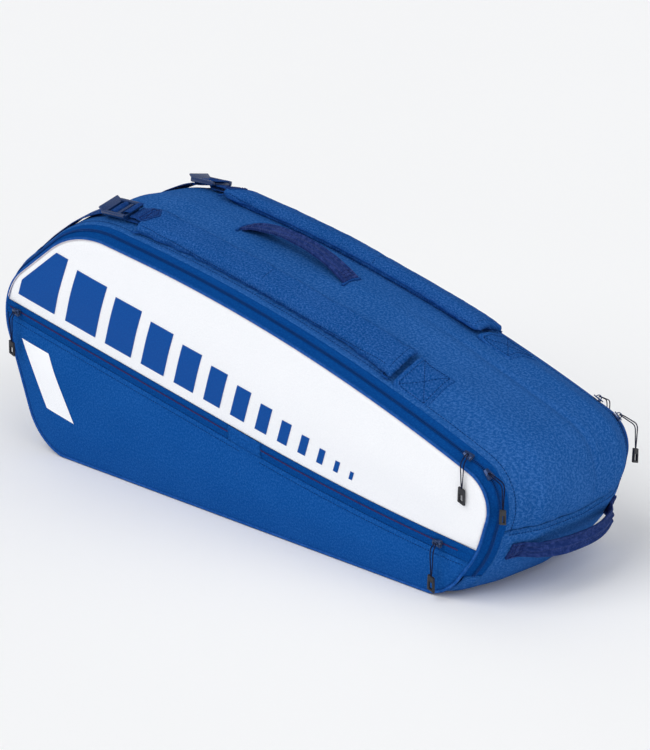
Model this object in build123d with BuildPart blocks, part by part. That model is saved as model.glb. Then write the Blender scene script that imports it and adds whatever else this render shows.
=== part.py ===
from build123d import *
from math import atan2, cos, degrees, hypot, radians, sin, sqrt, tan
import os

# Racket tournament bag, mm. It stands on its long base gusset with the shoulder straps on top.
# +X runs to the handle end, -X to the racket-head end, -Y is the front with the pocket, +Z is up.
# The origin is on the floor, midway between the two end corners and between the two side panels.

# ---------------------------------------------------------------- overall sizes
PANEL_LENGTH = 748       # between the corners of the two ends, along X
PANEL_HALF_WIDTH = 116   # mid-plane to the piping of a side panel
CREST_HEIGHT = 286       # corner at the top of the head end
HEAD_HEIGHT = 185        # corner of the head end
HANDLE_HEIGHT = 136      # corner of the handle end

# ---------------------------------------------------------------- side outline
HEAD_LEAN = 65           # how far the head end leans out over the base
SHOULDER_RUN = 137       # from the head end to the crest, along X
CREST_RUN = 483          # from the head end to the corner in the long top edge, along X
CREST_DROP = 48          # how far the top edge falls along that run, from the crest
END_STEP = (21.5, 61)    # corner between the end and the heel: in from the end, up from the base
END_LEAN = 64.5          # how far the handle end leans out over the base
BASE_HEAD_RADIUS = 72
HEAD_RADIUS = 72
CREST_RADIUS = 130
HANDLE_RADIUS = 39
END_RADIUS = 115
BASE_END_RADIUS = 64
TANGENT_SPARE = 6        # straight left between two corner arcs of the top edge

# ---------------------------------------------------------------- gusset
GUSSET_INSET = 16        # piping to the gusset's edge: the width taken by the zip
ZIP_RISE = 12            # how far the gusset's edge stands outside the piping line
SHOULDER_IN = 40         # from the gusset's edge to where the crown flattens
SHOULDER_SHARE = 0.82    # share of the crown reached there
CROWN = (24, 22, 28, 32, 36, 26)   # head, shoulder, crest, fall, end, heel, at the mid-plane
CROWN_TOP_SHARE = 0.9    # long top arc at the mid-plane, against that of the side panels
CROWN_RADII = (72, 84, 142, None, 62, 100, 60)
GUSSET_WALL = 4          # outer cloth with its foam
BASE_FLAT_IN = 8         # from the ends of the flat base to its plain middle
LINING_WALL = 0.8
LINING_GAP = 0.2
END_SEAM_HEIGHT = 86     # where the base gusset meets the other two
HEAD_SEAM_IN = 56        # seam between the top and head end gussets, in from the head end
DIVIDER_WALL = 6
DIVIDER_GAP = 0.4

# ---------------------------------------------------------------- side panels
PANEL_WALL = 3.5
PANEL_INSET = 1.5        # panel's edge inside the piping line
PANEL_PROUD = 2.5        # outer face beyond the piping line
PIPING_PROUD = 1.0       # piping beyond the panel's face
PIPING_HEIGHT = 3.3
PIPING_OUT = 1.2
COVER_LINING_INSET = 4
COVER_GAP = 1.6          # panel's inner face to the base gusset's edge

# ---------------------------------------------------------------- zips
TAPE_WALL = 1.2
COIL_HEIGHT = 1.6
COIL_WIDTH = 1.8
COIL_GAP = 0.6           # between the two closed halves
COIL_INSET = 8.9         # piping line to the middle of the coil
ZIP_END_HEIGHT = 30
PART_GAP = 0.5           # between pieces that move apart

# ---------------------------------------------------------------- front pocket
SEAM_PAST = 51               # the pocket's upper seam is drawn past both ends of the bag
SEAM_LEFT_RISE = 4           # and starts above the head end's corner
SEAM_KNEE_IN = 204           # its knee, in from the handle end
SEAM_HEIGHTS = (81, 59)      # at its knee, past the handle end
SEAM_RADIUS = 3000
POCKET_ZIP_WIDTH = 14
POCKET_DEPTH = 9.5
POCKET_WALL = 3
POCKET_EDGE = 5
BACKING_WALL = 1.5
BRIDGE_X = (5, 50)           # plain patch between the two pocket zips
POCKET_ZIP_IN = (22, 44)     # zip's ends, in from the head end and the handle end
POCKET_TAPE_GAP = 0.1

# ---------------------------------------------------------------- sliders and pulls
SLIDER_LENGTH = 11
SLIDER_WIDTH = 8.5
SLIDER_WALL = 2.4
SLIDER_CORNER = 2.5
SLIDER_LIFT = 2.2            # underside above the tape
BRIDGE_SIZE = (7, 2.6, 3.2)
BRIDGE_BAR = 1.2
TOP_SLIDER_IN = 7            # back from the end of the long top arc
END_SLIDER_ANGLE = 50        # on the handle end's corner arc, from +X
POCKET_SLIDER_IN = (36, 70)  # in from the head end and the handle end
CORD_RADIUS = 0.9
CORD_DROP = 27
CORD_BEND = 3
TAB_SIZE = (9, 19, 3)        # width, height, thickness
TAB_CORNER = 1.6
TAB_WINDOW = (3.4, 9)
TAB_WINDOW_CORNER = 1
TAB_WINDOW_DROP = 2          # below the tab's middle
CORD_GAP = 0.4               # cord's start above the slider's bridge
TOP_PULL_OUT = 3.6           # hanging top pulls, in front of the piping
TOP_PULL_RUN = 2             # top pulls lean this far towards the handle end
END_PULL_OUT = 6             # hanging end pulls, beyond the panel's end corner
PULL_FALL = 7                # from a main slider's bridge down to the cord's knee
POCKET_PULL = (2.5, 6)       # the same knee on the pocket, out and down

# ---------------------------------------------------------------- straps and handles
STRAP_WIDTH = 50
STRAP_WALL = 12
STRAP_GAP = 0.6
STRAP_IN = (27, 35)          # front and back strap's middle, in from the gusset's edge
STRAP_END_IN = (206, 156)    # free end from the head end, sewn end from the handle end
ANCHOR_LENGTH = 46
PATCH_WALL = 2
TAB_OVERLAP = 24             # strap's buckle tab, over the pad
TAB_REACH = 14               # and past its end
TAB_WIDTH = 30
WEBBING_WALL = 1.6
WEBBING_WIDTH = 25
WEBBING_LIFT = 2.2
BUCKLE_LENGTH = 36
BUCKLE_WIDTH = 34
BUCKLE_WALL = 6
BUCKLE_CORNER = 4
BUCKLE_BAR = 4.5
BUCKLE_LIFT = 9              # middle of the buckle above the gusset
BUCKLE_GAP = 2.4             # room to tilt, to the tab and to the webbing
WEBBING_ANCHOR_IN = 42       # webbing's sewn end, in from the head end
WEBBING_ANCHOR_LENGTH = 22
CARRY_X = (-80, 75)
CARRY_GAP = 0.6              # under the ends
CARRY_WIDTH = 24
CARRY_WALL = 3
CARRY_RISE = 18
CARRY_ROOT = 34              # length of each sewn end
END_HANDLE_Z = 60
END_HANDLE_IN = 12           # sewn ends, in from the gusset's edge
END_HANDLE_BOW = 32          # at its middle, beyond the handle end
END_HANDLE_HEIGHT = 20
END_HANDLE_WALL = 3.5
END_HANDLE_ROOT = 22         # length of each sewn end

# ---------------------------------------------------------------- derived places
HEAD_X = -PANEL_LENGTH / 2
HANDLE_X = PANEL_LENGTH / 2
GUSSET_EDGE_Y = PANEL_HALF_WIDTH - GUSSET_INSET
PANEL_FACE_Y = PANEL_HALF_WIDTH + PANEL_PROUD
PANEL_INNER_Y = PANEL_FACE_Y - PANEL_WALL
BODY_EDGE_Y = PANEL_INNER_Y - COVER_GAP
PIPING_FACE_Y = PANEL_FACE_Y + PIPING_PROUD
COIL_Y = PANEL_HALF_WIDTH - COIL_INSET
ZIP_SLOPE = hypot(GUSSET_INSET, ZIP_RISE)
POCKET_FACE_Y = PANEL_INNER_Y + BACKING_WALL + POCKET_DEPTH
POCKET_BACK_Y = PANEL_INNER_Y + BACKING_WALL
POCKET_TAPE_Y = PANEL_FACE_Y + POCKET_TAPE_GAP
SHOULDER_Y = GUSSET_EDGE_Y - SHOULDER_IN
HEAD_SEAM_X = HEAD_X + HEAD_SEAM_IN
SEAM_LEFT = (HEAD_X - SEAM_PAST, HEAD_HEIGHT + SEAM_LEFT_RISE)
SEAM_KNEE = (HANDLE_X - SEAM_KNEE_IN, SEAM_HEIGHTS[0])
SEAM_RIGHT = (HANDLE_X + SEAM_PAST, SEAM_HEIGHTS[1])
POCKET_ZIP_X = (HEAD_X + POCKET_ZIP_IN[0], HANDLE_X - POCKET_ZIP_IN[1])
POCKET_SLIDER_X = (HEAD_X + POCKET_SLIDER_IN[0], HANDLE_X - POCKET_SLIDER_IN[1])
FRONT_STRAP_Y = STRAP_IN[0] - GUSSET_EDGE_Y
BACK_STRAP_Y = GUSSET_EDGE_Y - STRAP_IN[1]
STRAP_X = (HEAD_X + STRAP_END_IN[0], HANDLE_X - STRAP_END_IN[1])
WEBBING_ANCHOR_X = HEAD_X + WEBBING_ANCHOR_IN
END_HANDLE_Y = GUSSET_EDGE_Y - END_HANDLE_IN
END_HANDLE_ROOT_Y = END_HANDLE_Y - END_HANDLE_ROOT
FAR = PANEL_LENGTH           # beyond the bag on every side

CORNERS = [
    (HEAD_X + HEAD_LEAN, 0),
    (HEAD_X, HEAD_HEIGHT),
    (HEAD_X + SHOULDER_RUN, CREST_HEIGHT),
    (HEAD_X + CREST_RUN, CREST_HEIGHT - CREST_DROP),
    (HANDLE_X, HANDLE_HEIGHT),
    (HANDLE_X - END_STEP[0], END_STEP[1]),
    (HANDLE_X - END_LEAN, 0),
]
TOP_CORNER = 3
HANDLE_CORNER = 4
BASE_CORNER = 6


def edge_lines(moves):
    """Point and direction of each edge, moved outwards by its own amount; the base comes last."""
    lines = []
    for index, move in enumerate(moves):
        start = Vector(*CORNERS[index])
        along = (Vector(*CORNERS[(index + 1) % len(CORNERS)]) - start).normalized()
        lines.append((start + Vector(-along.Y, along.X) * move, along))
    return lines


def crossing(first, second):
    """Where two edge lines cross."""
    gap = second[0] - first[0]
    across = first[1].X * second[1].Y - first[1].Y * second[1].X
    return first[0] + first[1] * ((gap.X * second[1].Y - gap.Y * second[1].X) / across)


def corners_of(moves):
    """Corner points of the outline with every edge moved outwards."""
    lines = edge_lines(moves)
    return [crossing(lines[index - 1], lines[index]) for index in range(len(lines))]


def half_turn(corners, index):
    """Half of the angle that the outline turns through at a corner."""
    before = corners[index] - corners[index - 1]
    after = corners[(index + 1) % len(corners)] - corners[index]
    return radians(before.get_angle(after)) / 2


def top_radius():
    """Radius of the long top arc, as large as its two edges allow."""
    corners = [Vector(*corner) for corner in CORNERS]
    reach = []
    for neighbour, radius in ((TOP_CORNER - 1, CREST_RADIUS), (HANDLE_CORNER, HANDLE_RADIUS)):
        length = (corners[neighbour] - corners[TOP_CORNER]).length
        reach.append(length - radius * tan(half_turn(corners, neighbour)))
    return (min(reach) - TANGENT_SPARE) / tan(half_turn(corners, TOP_CORNER))


TOP_RADIUS = top_radius()
RADII = [
    BASE_HEAD_RADIUS, HEAD_RADIUS, CREST_RADIUS, TOP_RADIUS,
    HANDLE_RADIUS, END_RADIUS, BASE_END_RADIUS,
]


def grown(radii, out):
    """Corner radii of an outline moved outwards, whose base stays on the floor."""
    base = (0, len(radii) - 1)
    return [r + (min(out, 0) if index in base else out) for index, r in enumerate(radii)]


def mix(low, high, share):
    """Values between two lists."""
    return [a + (b - a) * share for a, b in zip(low, high)]


def skin(depth):
    """Edge moves and corner radii of the bag's outer skin at a depth from the mid-plane."""
    crown_radii = [radius or TOP_RADIUS * CROWN_TOP_SHARE for radius in CROWN_RADII]
    edge = ([ZIP_RISE] * len(CROWN), grown(RADII, ZIP_RISE))
    shoulder = (
        [move * SHOULDER_SHARE for move in CROWN],
        mix(edge[1], crown_radii, SHOULDER_SHARE),
    )
    rows = [
        (0, (list(CROWN), crown_radii)),
        (SHOULDER_Y, shoulder),
        (GUSSET_EDGE_Y, edge),
        (PANEL_HALF_WIDTH, ([0] * len(CROWN), RADII)),
    ]
    depth = min(abs(depth), PANEL_HALF_WIDTH)
    for (near, row), (far, next_row) in zip(rows, rows[1:]):
        if depth <= far:
            share = (depth - near) / (far - near)
            return mix(row[0], next_row[0], share), mix(row[1], next_row[1], share)


def outline(depth, out):
    """Corners and radii of the side outline at a depth, standing `out` outside the skin."""
    moves, radii = skin(depth)
    corners = corners_of([move + out for move in moves] + [min(out, 0)])
    return corners, grown(radii, out)


def corner_arc(depth, out, index):
    """Start, end, centre and radius of one corner arc of the outline."""
    corners, radii = outline(depth, out)
    half = half_turn(corners, index)
    before = (corners[index] - corners[index - 1]).normalized()
    after = (corners[(index + 1) % len(corners)] - corners[index]).normalized()
    reach = radii[index] * tan(half)
    start = corners[index] - before * reach
    inward = Vector(before.Y, -before.X)
    return start, corners[index] + after * reach, start + inward * radii[index], radii[index]


def skin_height(x, depth, out):
    """Height of the upper skin at X, at a depth, standing `out` outside it."""
    corners = outline(depth, out)[0]
    for index in range(1, HANDLE_CORNER + 1):
        start, finish, centre, radius = corner_arc(depth, out, index)
        if start.X <= x <= finish.X:
            return centre.Y + sqrt(radius ** 2 - (x - centre.X) ** 2)
        if x < start.X:
            share = (x - corners[index - 1].X) / (corners[index].X - corners[index - 1].X)
            return corners[index - 1].Y + share * (corners[index].Y - corners[index - 1].Y)


def buckle_plane(x, centre_y):
    """Plane of a buckle's fixed bar, lying along the skin: X points back to the strap."""
    low_x, near, far = x - BUCKLE_LENGTH, centre_y - BUCKLE_WIDTH / 2, centre_y + BUCKLE_WIDTH / 2
    fixed, free = skin_height(x, centre_y, 0), skin_height(low_x, centre_y, 0)
    lean = Vector(BUCKLE_LENGTH, 0, fixed - free).normalized()
    rise = skin_height(x, far, 0) - skin_height(x, near, 0)
    up = lean.cross(Vector(0, BUCKLE_WIDTH, rise).normalized())
    return Plane(origin=Vector(x, centre_y, fixed) + up * BUCKLE_LIFT, x_dir=lean, z_dir=up)


def side_face(y, out):
    """The side outline as a face at Y, standing `out` outside the skin."""
    corners, radii = outline(y, out)
    with BuildSketch(Plane.XZ.offset(-y)) as face:
        with BuildLine():
            FilletPolyline(*corners, radius=radii, close=True)
        make_face()
    return face.sketch


def stations(low, high):
    """Depths from low to high, with those where the skin's slope changes."""
    bends = [-GUSSET_EDGE_Y, -SHOULDER_Y, 0, SHOULDER_Y, GUSSET_EDGE_Y]
    return [low] + [bend for bend in bends if low < bend < high] + [high]


def band(low_y, high_y, inner, outer):
    """A layer that follows the skin right round the bag between two depths."""
    depths = stations(low_y, high_y)
    with BuildPart() as layer:
        loft([side_face(y, outer) for y in depths], ruled=True)
        loft([side_face(y, inner) for y in depths], ruled=True, mode=Mode.SUBTRACT)
    return layer.part


def window(*points):
    """A prism across the whole bag, over an outline in X and Z."""
    with BuildPart() as prism:
        with BuildSketch(Plane.XZ):
            with BuildLine():
                Polyline(*points, close=True)
            make_face()
        extrude(amount=FAR, both=True)
    return prism.part


def x_window(low, high, floor=END_SEAM_HEIGHT):
    """A prism over a stretch of X, above a height."""
    return window((low, floor), (high, floor), (high, FAR), (low, FAR))


def clipped(layer, keep):
    """The part of a layer inside a window."""
    with BuildPart() as piece:
        add(layer)
        add(keep, mode=Mode.INTERSECT)
    return piece.part


def plate(outer_y, inner_y, inset):
    """A flat plate in the side panel's outline, between two depths."""
    with BuildPart() as sheet:
        extrude(side_face(outer_y, -inset), amount=inner_y - outer_y, dir=(0, 1, 0))
    return sheet.part


def plane_axis(plane):
    """The line through a plane's origin along its normal."""
    return Axis(plane.origin, plane.z_dir)


def save(piece, name):
    """Labels a finished piece and writes it."""
    piece.label = name
    export_step(piece, f"parts/{name}.step")


os.makedirs("parts", exist_ok=True)

# ================================================================ gusset, lining and divider
gusset_shell = band(-GUSSET_EDGE_Y, GUSSET_EDGE_Y, -GUSSET_WALL, 0)
above_seam = window((-FAR, END_SEAM_HEIGHT), (FAR, END_SEAM_HEIGHT), (FAR, FAR), (-FAR, FAR))
below_seam = window((-FAR, -FAR), (FAR, -FAR), (FAR, END_SEAM_HEIGHT), (-FAR, END_SEAM_HEIGHT))
below_zip = window((-FAR, -FAR), (FAR, -FAR), (FAR, ZIP_END_HEIGHT), (-FAR, ZIP_END_HEIGHT))
above_zip = window(
    (-FAR, ZIP_END_HEIGHT + PART_GAP), (FAR, ZIP_END_HEIGHT + PART_GAP), (FAR, FAR), (-FAR, FAR)
)

with BuildPart() as top_gusset:
    add(gusset_shell)
    add(x_window(HEAD_SEAM_X, FAR), mode=Mode.INTERSECT)
save(top_gusset.part, "top_gusset")

with BuildPart() as head_end_gusset:
    add(gusset_shell)
    add(x_window(-FAR, HEAD_SEAM_X), mode=Mode.INTERSECT)
save(head_end_gusset.part, "head_end_gusset")

front_base_edge = band(-BODY_EDGE_Y, -GUSSET_EDGE_Y, -GUSSET_WALL, 0)
back_base_edge = band(GUSSET_EDGE_Y, BODY_EDGE_Y, -GUSSET_WALL, 0)
front_base_edge = clipped(front_base_edge, below_zip)
back_base_edge = clipped(back_base_edge, below_zip)
flat_low = corner_arc(0, 0, 0)[0].X + BASE_FLAT_IN
flat_high = corner_arc(0, 0, BASE_CORNER)[1].X - BASE_FLAT_IN
with BuildPart() as base_gusset:
    add(gusset_shell)
    add(below_seam, mode=Mode.INTERSECT)
    add(front_base_edge)
    add(back_base_edge)
    with Locations(((flat_low + flat_high) / 2, 0, GUSSET_WALL / 2)):
        Box(flat_high - flat_low, 2 * SHOULDER_Y, GUSSET_WALL, mode=Mode.SUBTRACT)
        Box(flat_high - flat_low, 2 * SHOULDER_Y, GUSSET_WALL)
save(base_gusset.part, "base_gusset")

lining_out = GUSSET_WALL + LINING_GAP
body_lining = band(-GUSSET_EDGE_Y, GUSSET_EDGE_Y, -lining_out - LINING_WALL, -lining_out)
save(body_lining, "body_lining")

with BuildPart() as center_divider:
    middle = side_face(0, -lining_out - LINING_WALL - DIVIDER_GAP)
    extrude(middle, amount=DIVIDER_WALL / 2, dir=(0, 1, 0), both=True)
save(center_divider.part, "center_divider")

# ================================================================ side panels, zips and linings
for side, name in ((-1, "front"), (1, "back")):
    def depth_band(near, far, inner, outer):
        """A zip layer on this side, between two depths, clear of the base."""
        low, high = sorted((side * near, side * far))
        return clipped(band(low, high, inner, outer), above_zip)

    tape_edge = COIL_Y + COIL_GAP / 2
    save(depth_band(PANEL_INNER_Y, tape_edge, -TAPE_WALL, 0), f"{name}_zip_tape_cover")
    save(depth_band(tape_edge + COIL_WIDTH, tape_edge, 0, COIL_HEIGHT), f"{name}_zip_coil_cover")
    tape_edge = COIL_Y - COIL_GAP / 2
    save(depth_band(tape_edge, GUSSET_EDGE_Y, -TAPE_WALL, 0), f"{name}_zip_tape_bag")
    save(depth_band(tape_edge, tape_edge - COIL_WIDTH, 0, COIL_HEIGHT), f"{name}_zip_coil_bag")

    piping_y = (side * PIPING_FACE_Y, side * (PIPING_FACE_Y - PIPING_HEIGHT))
    piping_block = plate(*piping_y, -PIPING_OUT)
    piping_hole = plate(*piping_y, PANEL_INSET)
    with BuildPart() as piping:
        add(piping_block)
        add(piping_hole, mode=Mode.SUBTRACT)
    save(piping.part, f"{name}_piping")

    lining_y = PANEL_INNER_Y - LINING_GAP
    lining = plate(side * lining_y, side * (lining_y - LINING_WALL), COVER_LINING_INSET)
    save(lining, f"{name}_cover_lining")

save(plate(PANEL_FACE_Y, PANEL_INNER_Y, PANEL_INSET), "back_panel")

# ================================================================ front panel and its pocket
def seam_window(drop, above):
    """A prism above or below the pocket's upper seam, lowered by `drop`."""
    rim = FAR if above else -FAR
    points = [(x, z - drop) for x, z in (SEAM_LEFT, SEAM_KNEE, SEAM_RIGHT)]
    with BuildPart() as prism:
        with BuildSketch(Plane.XZ):
            with BuildLine():
                seam = FilletPolyline(*points, radius=SEAM_RADIUS)
                Polyline(seam @ 1, (points[2][0], rim), (points[0][0], rim), seam @ 0)
            make_face()
        extrude(amount=FAR, both=True)
    return prism.part


def seam_height(x):
    """Height of the pocket's upper seam at X."""
    left, knee, right = (Vector(*point) for point in (SEAM_LEFT, SEAM_KNEE, SEAM_RIGHT))
    before, after = (knee - left).normalized(), (right - knee).normalized()
    reach = SEAM_RADIUS * tan(radians(before.get_angle(after)) / 2)
    start, finish = knee - before * reach, knee + after * reach
    if x <= start.X:
        return left.Y + (x - left.X) * before.Y / before.X
    if x >= finish.X:
        return knee.Y + (x - knee.X) * after.Y / after.X
    return SEAM_CENTRE.Y - sqrt(SEAM_RADIUS ** 2 - (x - SEAM_CENTRE.X) ** 2)


def seam_centre():
    """Centre of the seam's long arc, above the bag."""
    left, knee, right = (Vector(*point) for point in (SEAM_LEFT, SEAM_KNEE, SEAM_RIGHT))
    before, after = (knee - left).normalized(), (right - knee).normalized()
    reach = SEAM_RADIUS * tan(radians(before.get_angle(after)) / 2)
    return knee - before * reach + Vector(-before.Y, before.X) * SEAM_RADIUS


SEAM_CENTRE = seam_centre()
above_pocket = seam_window(0, above=True)
zip_strip = clipped(seam_window(0, above=False), seam_window(POCKET_ZIP_WIDTH, above=True))
below_strip = seam_window(POCKET_ZIP_WIDTH + LINING_GAP, above=False)

panel_plate = plate(-PANEL_FACE_Y, -PANEL_INNER_Y, PANEL_INSET)
backing_plate = plate(-POCKET_BACK_Y, -PANEL_INNER_Y, PANEL_INSET)
save(clipped(panel_plate, above_pocket), "front_panel")
save(clipped(backing_plate, seam_window(LINING_GAP, above=False)), "pocket_backing")

pocket_plate = plate(-POCKET_FACE_Y, -POCKET_BACK_Y - LINING_GAP, PANEL_INSET)
pocket_block = clipped(pocket_plate, below_strip)
pocket_room = clipped(
    plate(-POCKET_FACE_Y + POCKET_WALL, -POCKET_BACK_Y, PANEL_INSET + POCKET_WALL),
    seam_window(POCKET_ZIP_WIDTH + LINING_GAP + POCKET_WALL, above=False),
)
with BuildPart() as front_pocket_panel:
    add(pocket_block)
    chamfer(faces().sort_by(Axis.Y)[0].edges(), length=POCKET_EDGE - POCKET_WALL)
    add(pocket_room, mode=Mode.SUBTRACT)
save(front_pocket_panel.part, "front_pocket_panel")

tape_plate = plate(-POCKET_TAPE_Y - TAPE_WALL, -POCKET_TAPE_Y, PANEL_INSET)
POCKET_COIL_Y = POCKET_TAPE_Y + TAPE_WALL
coil_plate = plate(-POCKET_COIL_Y - COIL_HEIGHT, -POCKET_COIL_Y, PANEL_INSET)
coil_middle = POCKET_ZIP_WIDTH / 2
coil_strip = clipped(
    seam_window(coil_middle - COIL_WIDTH, above=False),
    seam_window(coil_middle + COIL_WIDTH, above=True),
)
zip_stretches = {
    "pocket_zip_left": (POCKET_ZIP_X[0], BRIDGE_X[0] - LINING_GAP),
    "pocket_zip_right": (BRIDGE_X[1] + LINING_GAP, POCKET_ZIP_X[1]),
}
for name, (low_x, high_x) in zip_stretches.items():
    stretch = x_window(low_x, high_x, 0)
    tape = clipped(clipped(tape_plate, zip_strip), stretch)
    coil = clipped(clipped(coil_plate, coil_strip), stretch)
    with BuildPart() as pocket_zip:
        add(tape)
        add(coil)
    save(pocket_zip.part, name)
bridge_strip = clipped(tape_plate, zip_strip)
save(clipped(bridge_strip, x_window(*BRIDGE_X, 0)), "pocket_zip_bridge")


# ================================================================ zip sliders and their pulls
def make_slider(plane, name):
    """A slider on a zip: X of the plane runs along the zip, Z stands off the tape."""
    middle = SLIDER_LIFT + SLIDER_WALL / 2
    top = SLIDER_LIFT + SLIDER_WALL
    length, width, height = BRIDGE_SIZE
    with BuildPart(plane) as slider:
        with Locations((0, 0, middle)):
            Box(SLIDER_LENGTH, SLIDER_WIDTH, SLIDER_WALL)
        fillet(slider.edges().filter_by(plane_axis(plane)), radius=SLIDER_CORNER)
        with Locations((0, 0, top + height / 2)):
            Box(length, width, height)
        with Locations((0, 0, top + (height - BRIDGE_BAR) / 2)):
            Box(length - 2 * BRIDGE_BAR, width, height - BRIDGE_BAR, mode=Mode.SUBTRACT)
    save(slider.part, name)


def make_pull(bridge, knee, name, facing):
    """A cord from a slider's bridge over a knee, down to its moulded tab."""
    foot = knee - Vector(0, 0, CORD_DROP)
    start = (knee - bridge).normalized()
    with BuildPart() as cord:
        with BuildLine():
            line = FilletPolyline(bridge, knee, foot, radius=CORD_BEND)
        with BuildSketch(Plane(origin=bridge, z_dir=start)):
            Circle(CORD_RADIUS)
        sweep()
    save(cord.part, f"{name}_cord")

    width, height, wall = TAB_SIZE
    middle = foot - Vector(0, 0, height / 2)
    plane = Plane(origin=middle, z_dir=facing, x_dir=facing.cross(Vector(0, 0, 1)))
    with BuildPart() as tab:
        with BuildSketch(plane):
            RectangleRounded(width, height, TAB_CORNER)
            with Locations((0, -TAB_WINDOW_DROP)):
                RectangleRounded(*TAB_WINDOW, TAB_WINDOW_CORNER, mode=Mode.SUBTRACT)
        extrude(amount=wall / 2, both=True)
    save(tab.part, f"{name}_tab")


ZIP_NORMAL_OUT = GUSSET_INSET / ZIP_SLOPE      # share of the zip's normal along the outline's
ZIP_NORMAL_SIDE = ZIP_RISE / ZIP_SLOPE         # and towards the side panel


def zip_plane(side, index, angle=None, x=None):
    """Plane on the closed coil of a main zip, on the corner arc `index`, at an angle or an X."""
    _, _, centre, radius = corner_arc(COIL_Y, 0, index)
    if x is not None:
        angle = degrees(atan2(sqrt(radius ** 2 - (x - centre.X) ** 2), x - centre.X))
    angle = radians(angle)
    out = Vector(cos(angle), 0, sin(angle))
    origin = Vector(centre.X, side * COIL_Y, centre.Y) + out * radius
    along = Vector(sin(angle), 0, -cos(angle))
    normal = out * ZIP_NORMAL_OUT + Vector(0, side * ZIP_NORMAL_SIDE, 0)
    return Plane(origin=origin, x_dir=along, z_dir=normal)


CORD_START = SLIDER_LIFT + SLIDER_WALL + BRIDGE_SIZE[2] + CORD_GAP + CORD_RADIUS
TOP_PULL_Y = PIPING_FACE_Y + TOP_PULL_OUT
TOP_SLIDER_X = corner_arc(COIL_Y, 0, TOP_CORNER)[1].X - TOP_SLIDER_IN

for side, name in ((-1, "front"), (1, "back")):
    top_plane = zip_plane(side, TOP_CORNER, x=TOP_SLIDER_X)
    make_slider(top_plane, f"{name}_top_slider")
    bridge = top_plane.origin + top_plane.z_dir * CORD_START
    knee = Vector(bridge.X + TOP_PULL_RUN, side * TOP_PULL_Y, bridge.Z - PULL_FALL)
    make_pull(bridge, knee, f"{name}_top_pull", Vector(0, side, 0))

    end_plane = zip_plane(side, HANDLE_CORNER, angle=END_SLIDER_ANGLE)
    make_slider(end_plane, f"{name}_end_slider")
    bridge = end_plane.origin + end_plane.z_dir * CORD_START
    knee = Vector(HANDLE_X + END_PULL_OUT, bridge.Y, bridge.Z - PULL_FALL)
    make_pull(bridge, knee, f"{name}_end_pull", Vector(1, 0, 0))

for name, x in zip(("left", "right"), POCKET_SLIDER_X):
    slope = seam_height(x + 0.5) - seam_height(x - 0.5)
    origin = Vector(x, -POCKET_COIL_Y, seam_height(x) - coil_middle)
    plane = Plane(origin=origin, x_dir=Vector(1, 0, slope), z_dir=(0, -1, 0))
    make_slider(plane, f"pocket_{name}_slider")
    bridge = origin - Vector(0, CORD_START, 0)
    knee = bridge - Vector(0, *POCKET_PULL)
    make_pull(bridge, knee, f"pocket_{name}_pull", Vector(0, -1, 0))

# ================================================================ shoulder straps
for name, centre_y in (("front", FRONT_STRAP_Y), ("back", BACK_STRAP_Y)):
    def laid(width, low, high, low_x, high_x):
        """A layer on the top gusset, along the strap's line."""
        layer = band(centre_y - width / 2, centre_y + width / 2, low, high)
        return clipped(layer, x_window(low_x, high_x))

    pad_top = STRAP_GAP + STRAP_WALL
    pad = laid(STRAP_WIDTH, STRAP_GAP, pad_top, STRAP_X[0], STRAP_X[1])
    save(pad, f"{name}_strap_pad")
    anchor_x = STRAP_X[1] + PART_GAP
    save(laid(STRAP_WIDTH, 0, PATCH_WALL, anchor_x, anchor_x + ANCHOR_LENGTH), f"{name}_strap_anchor")
    tab = laid(
        TAB_WIDTH, pad_top + LINING_GAP, pad_top + LINING_GAP + WEBBING_WALL,
        STRAP_X[0] - TAB_REACH, STRAP_X[0] + TAB_OVERLAP,
    )
    save(tab, f"{name}_strap_tab")

    buckle_end = STRAP_X[0] - TAB_REACH - BUCKLE_GAP
    plane = buckle_plane(buckle_end, centre_y)
    with BuildPart(plane) as buckle:
        with Locations((-BUCKLE_LENGTH / 2, 0, 0)):
            Box(BUCKLE_LENGTH, BUCKLE_WIDTH, BUCKLE_WALL)
        fillet(buckle.edges().filter_by(plane_axis(plane)), radius=BUCKLE_CORNER)
        slots = (BUCKLE_LENGTH - 4 * BUCKLE_BAR) / 3
        for index in range(3):
            with Locations((-(BUCKLE_BAR + slots / 2 + index * (BUCKLE_BAR + slots)), 0, 0)):
                Box(slots, BUCKLE_WIDTH - 2 * BUCKLE_BAR, BUCKLE_WALL, mode=Mode.SUBTRACT)
    save(buckle.part, f"{name}_strap_buckle")

    webbing_end = buckle_end - BUCKLE_LENGTH - BUCKLE_GAP
    webbing = laid(
        WEBBING_WIDTH, WEBBING_LIFT, WEBBING_LIFT + WEBBING_WALL, WEBBING_ANCHOR_X, webbing_end
    )
    save(webbing, f"{name}_strap_webbing")
    anchor_end = WEBBING_ANCHOR_X - PART_GAP
    webbing_anchor = laid(
        WEBBING_WIDTH, 0, WEBBING_LIFT + WEBBING_WALL, anchor_end - WEBBING_ANCHOR_LENGTH, anchor_end
    )
    save(webbing_anchor, f"{name}_webbing_anchor")

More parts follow.
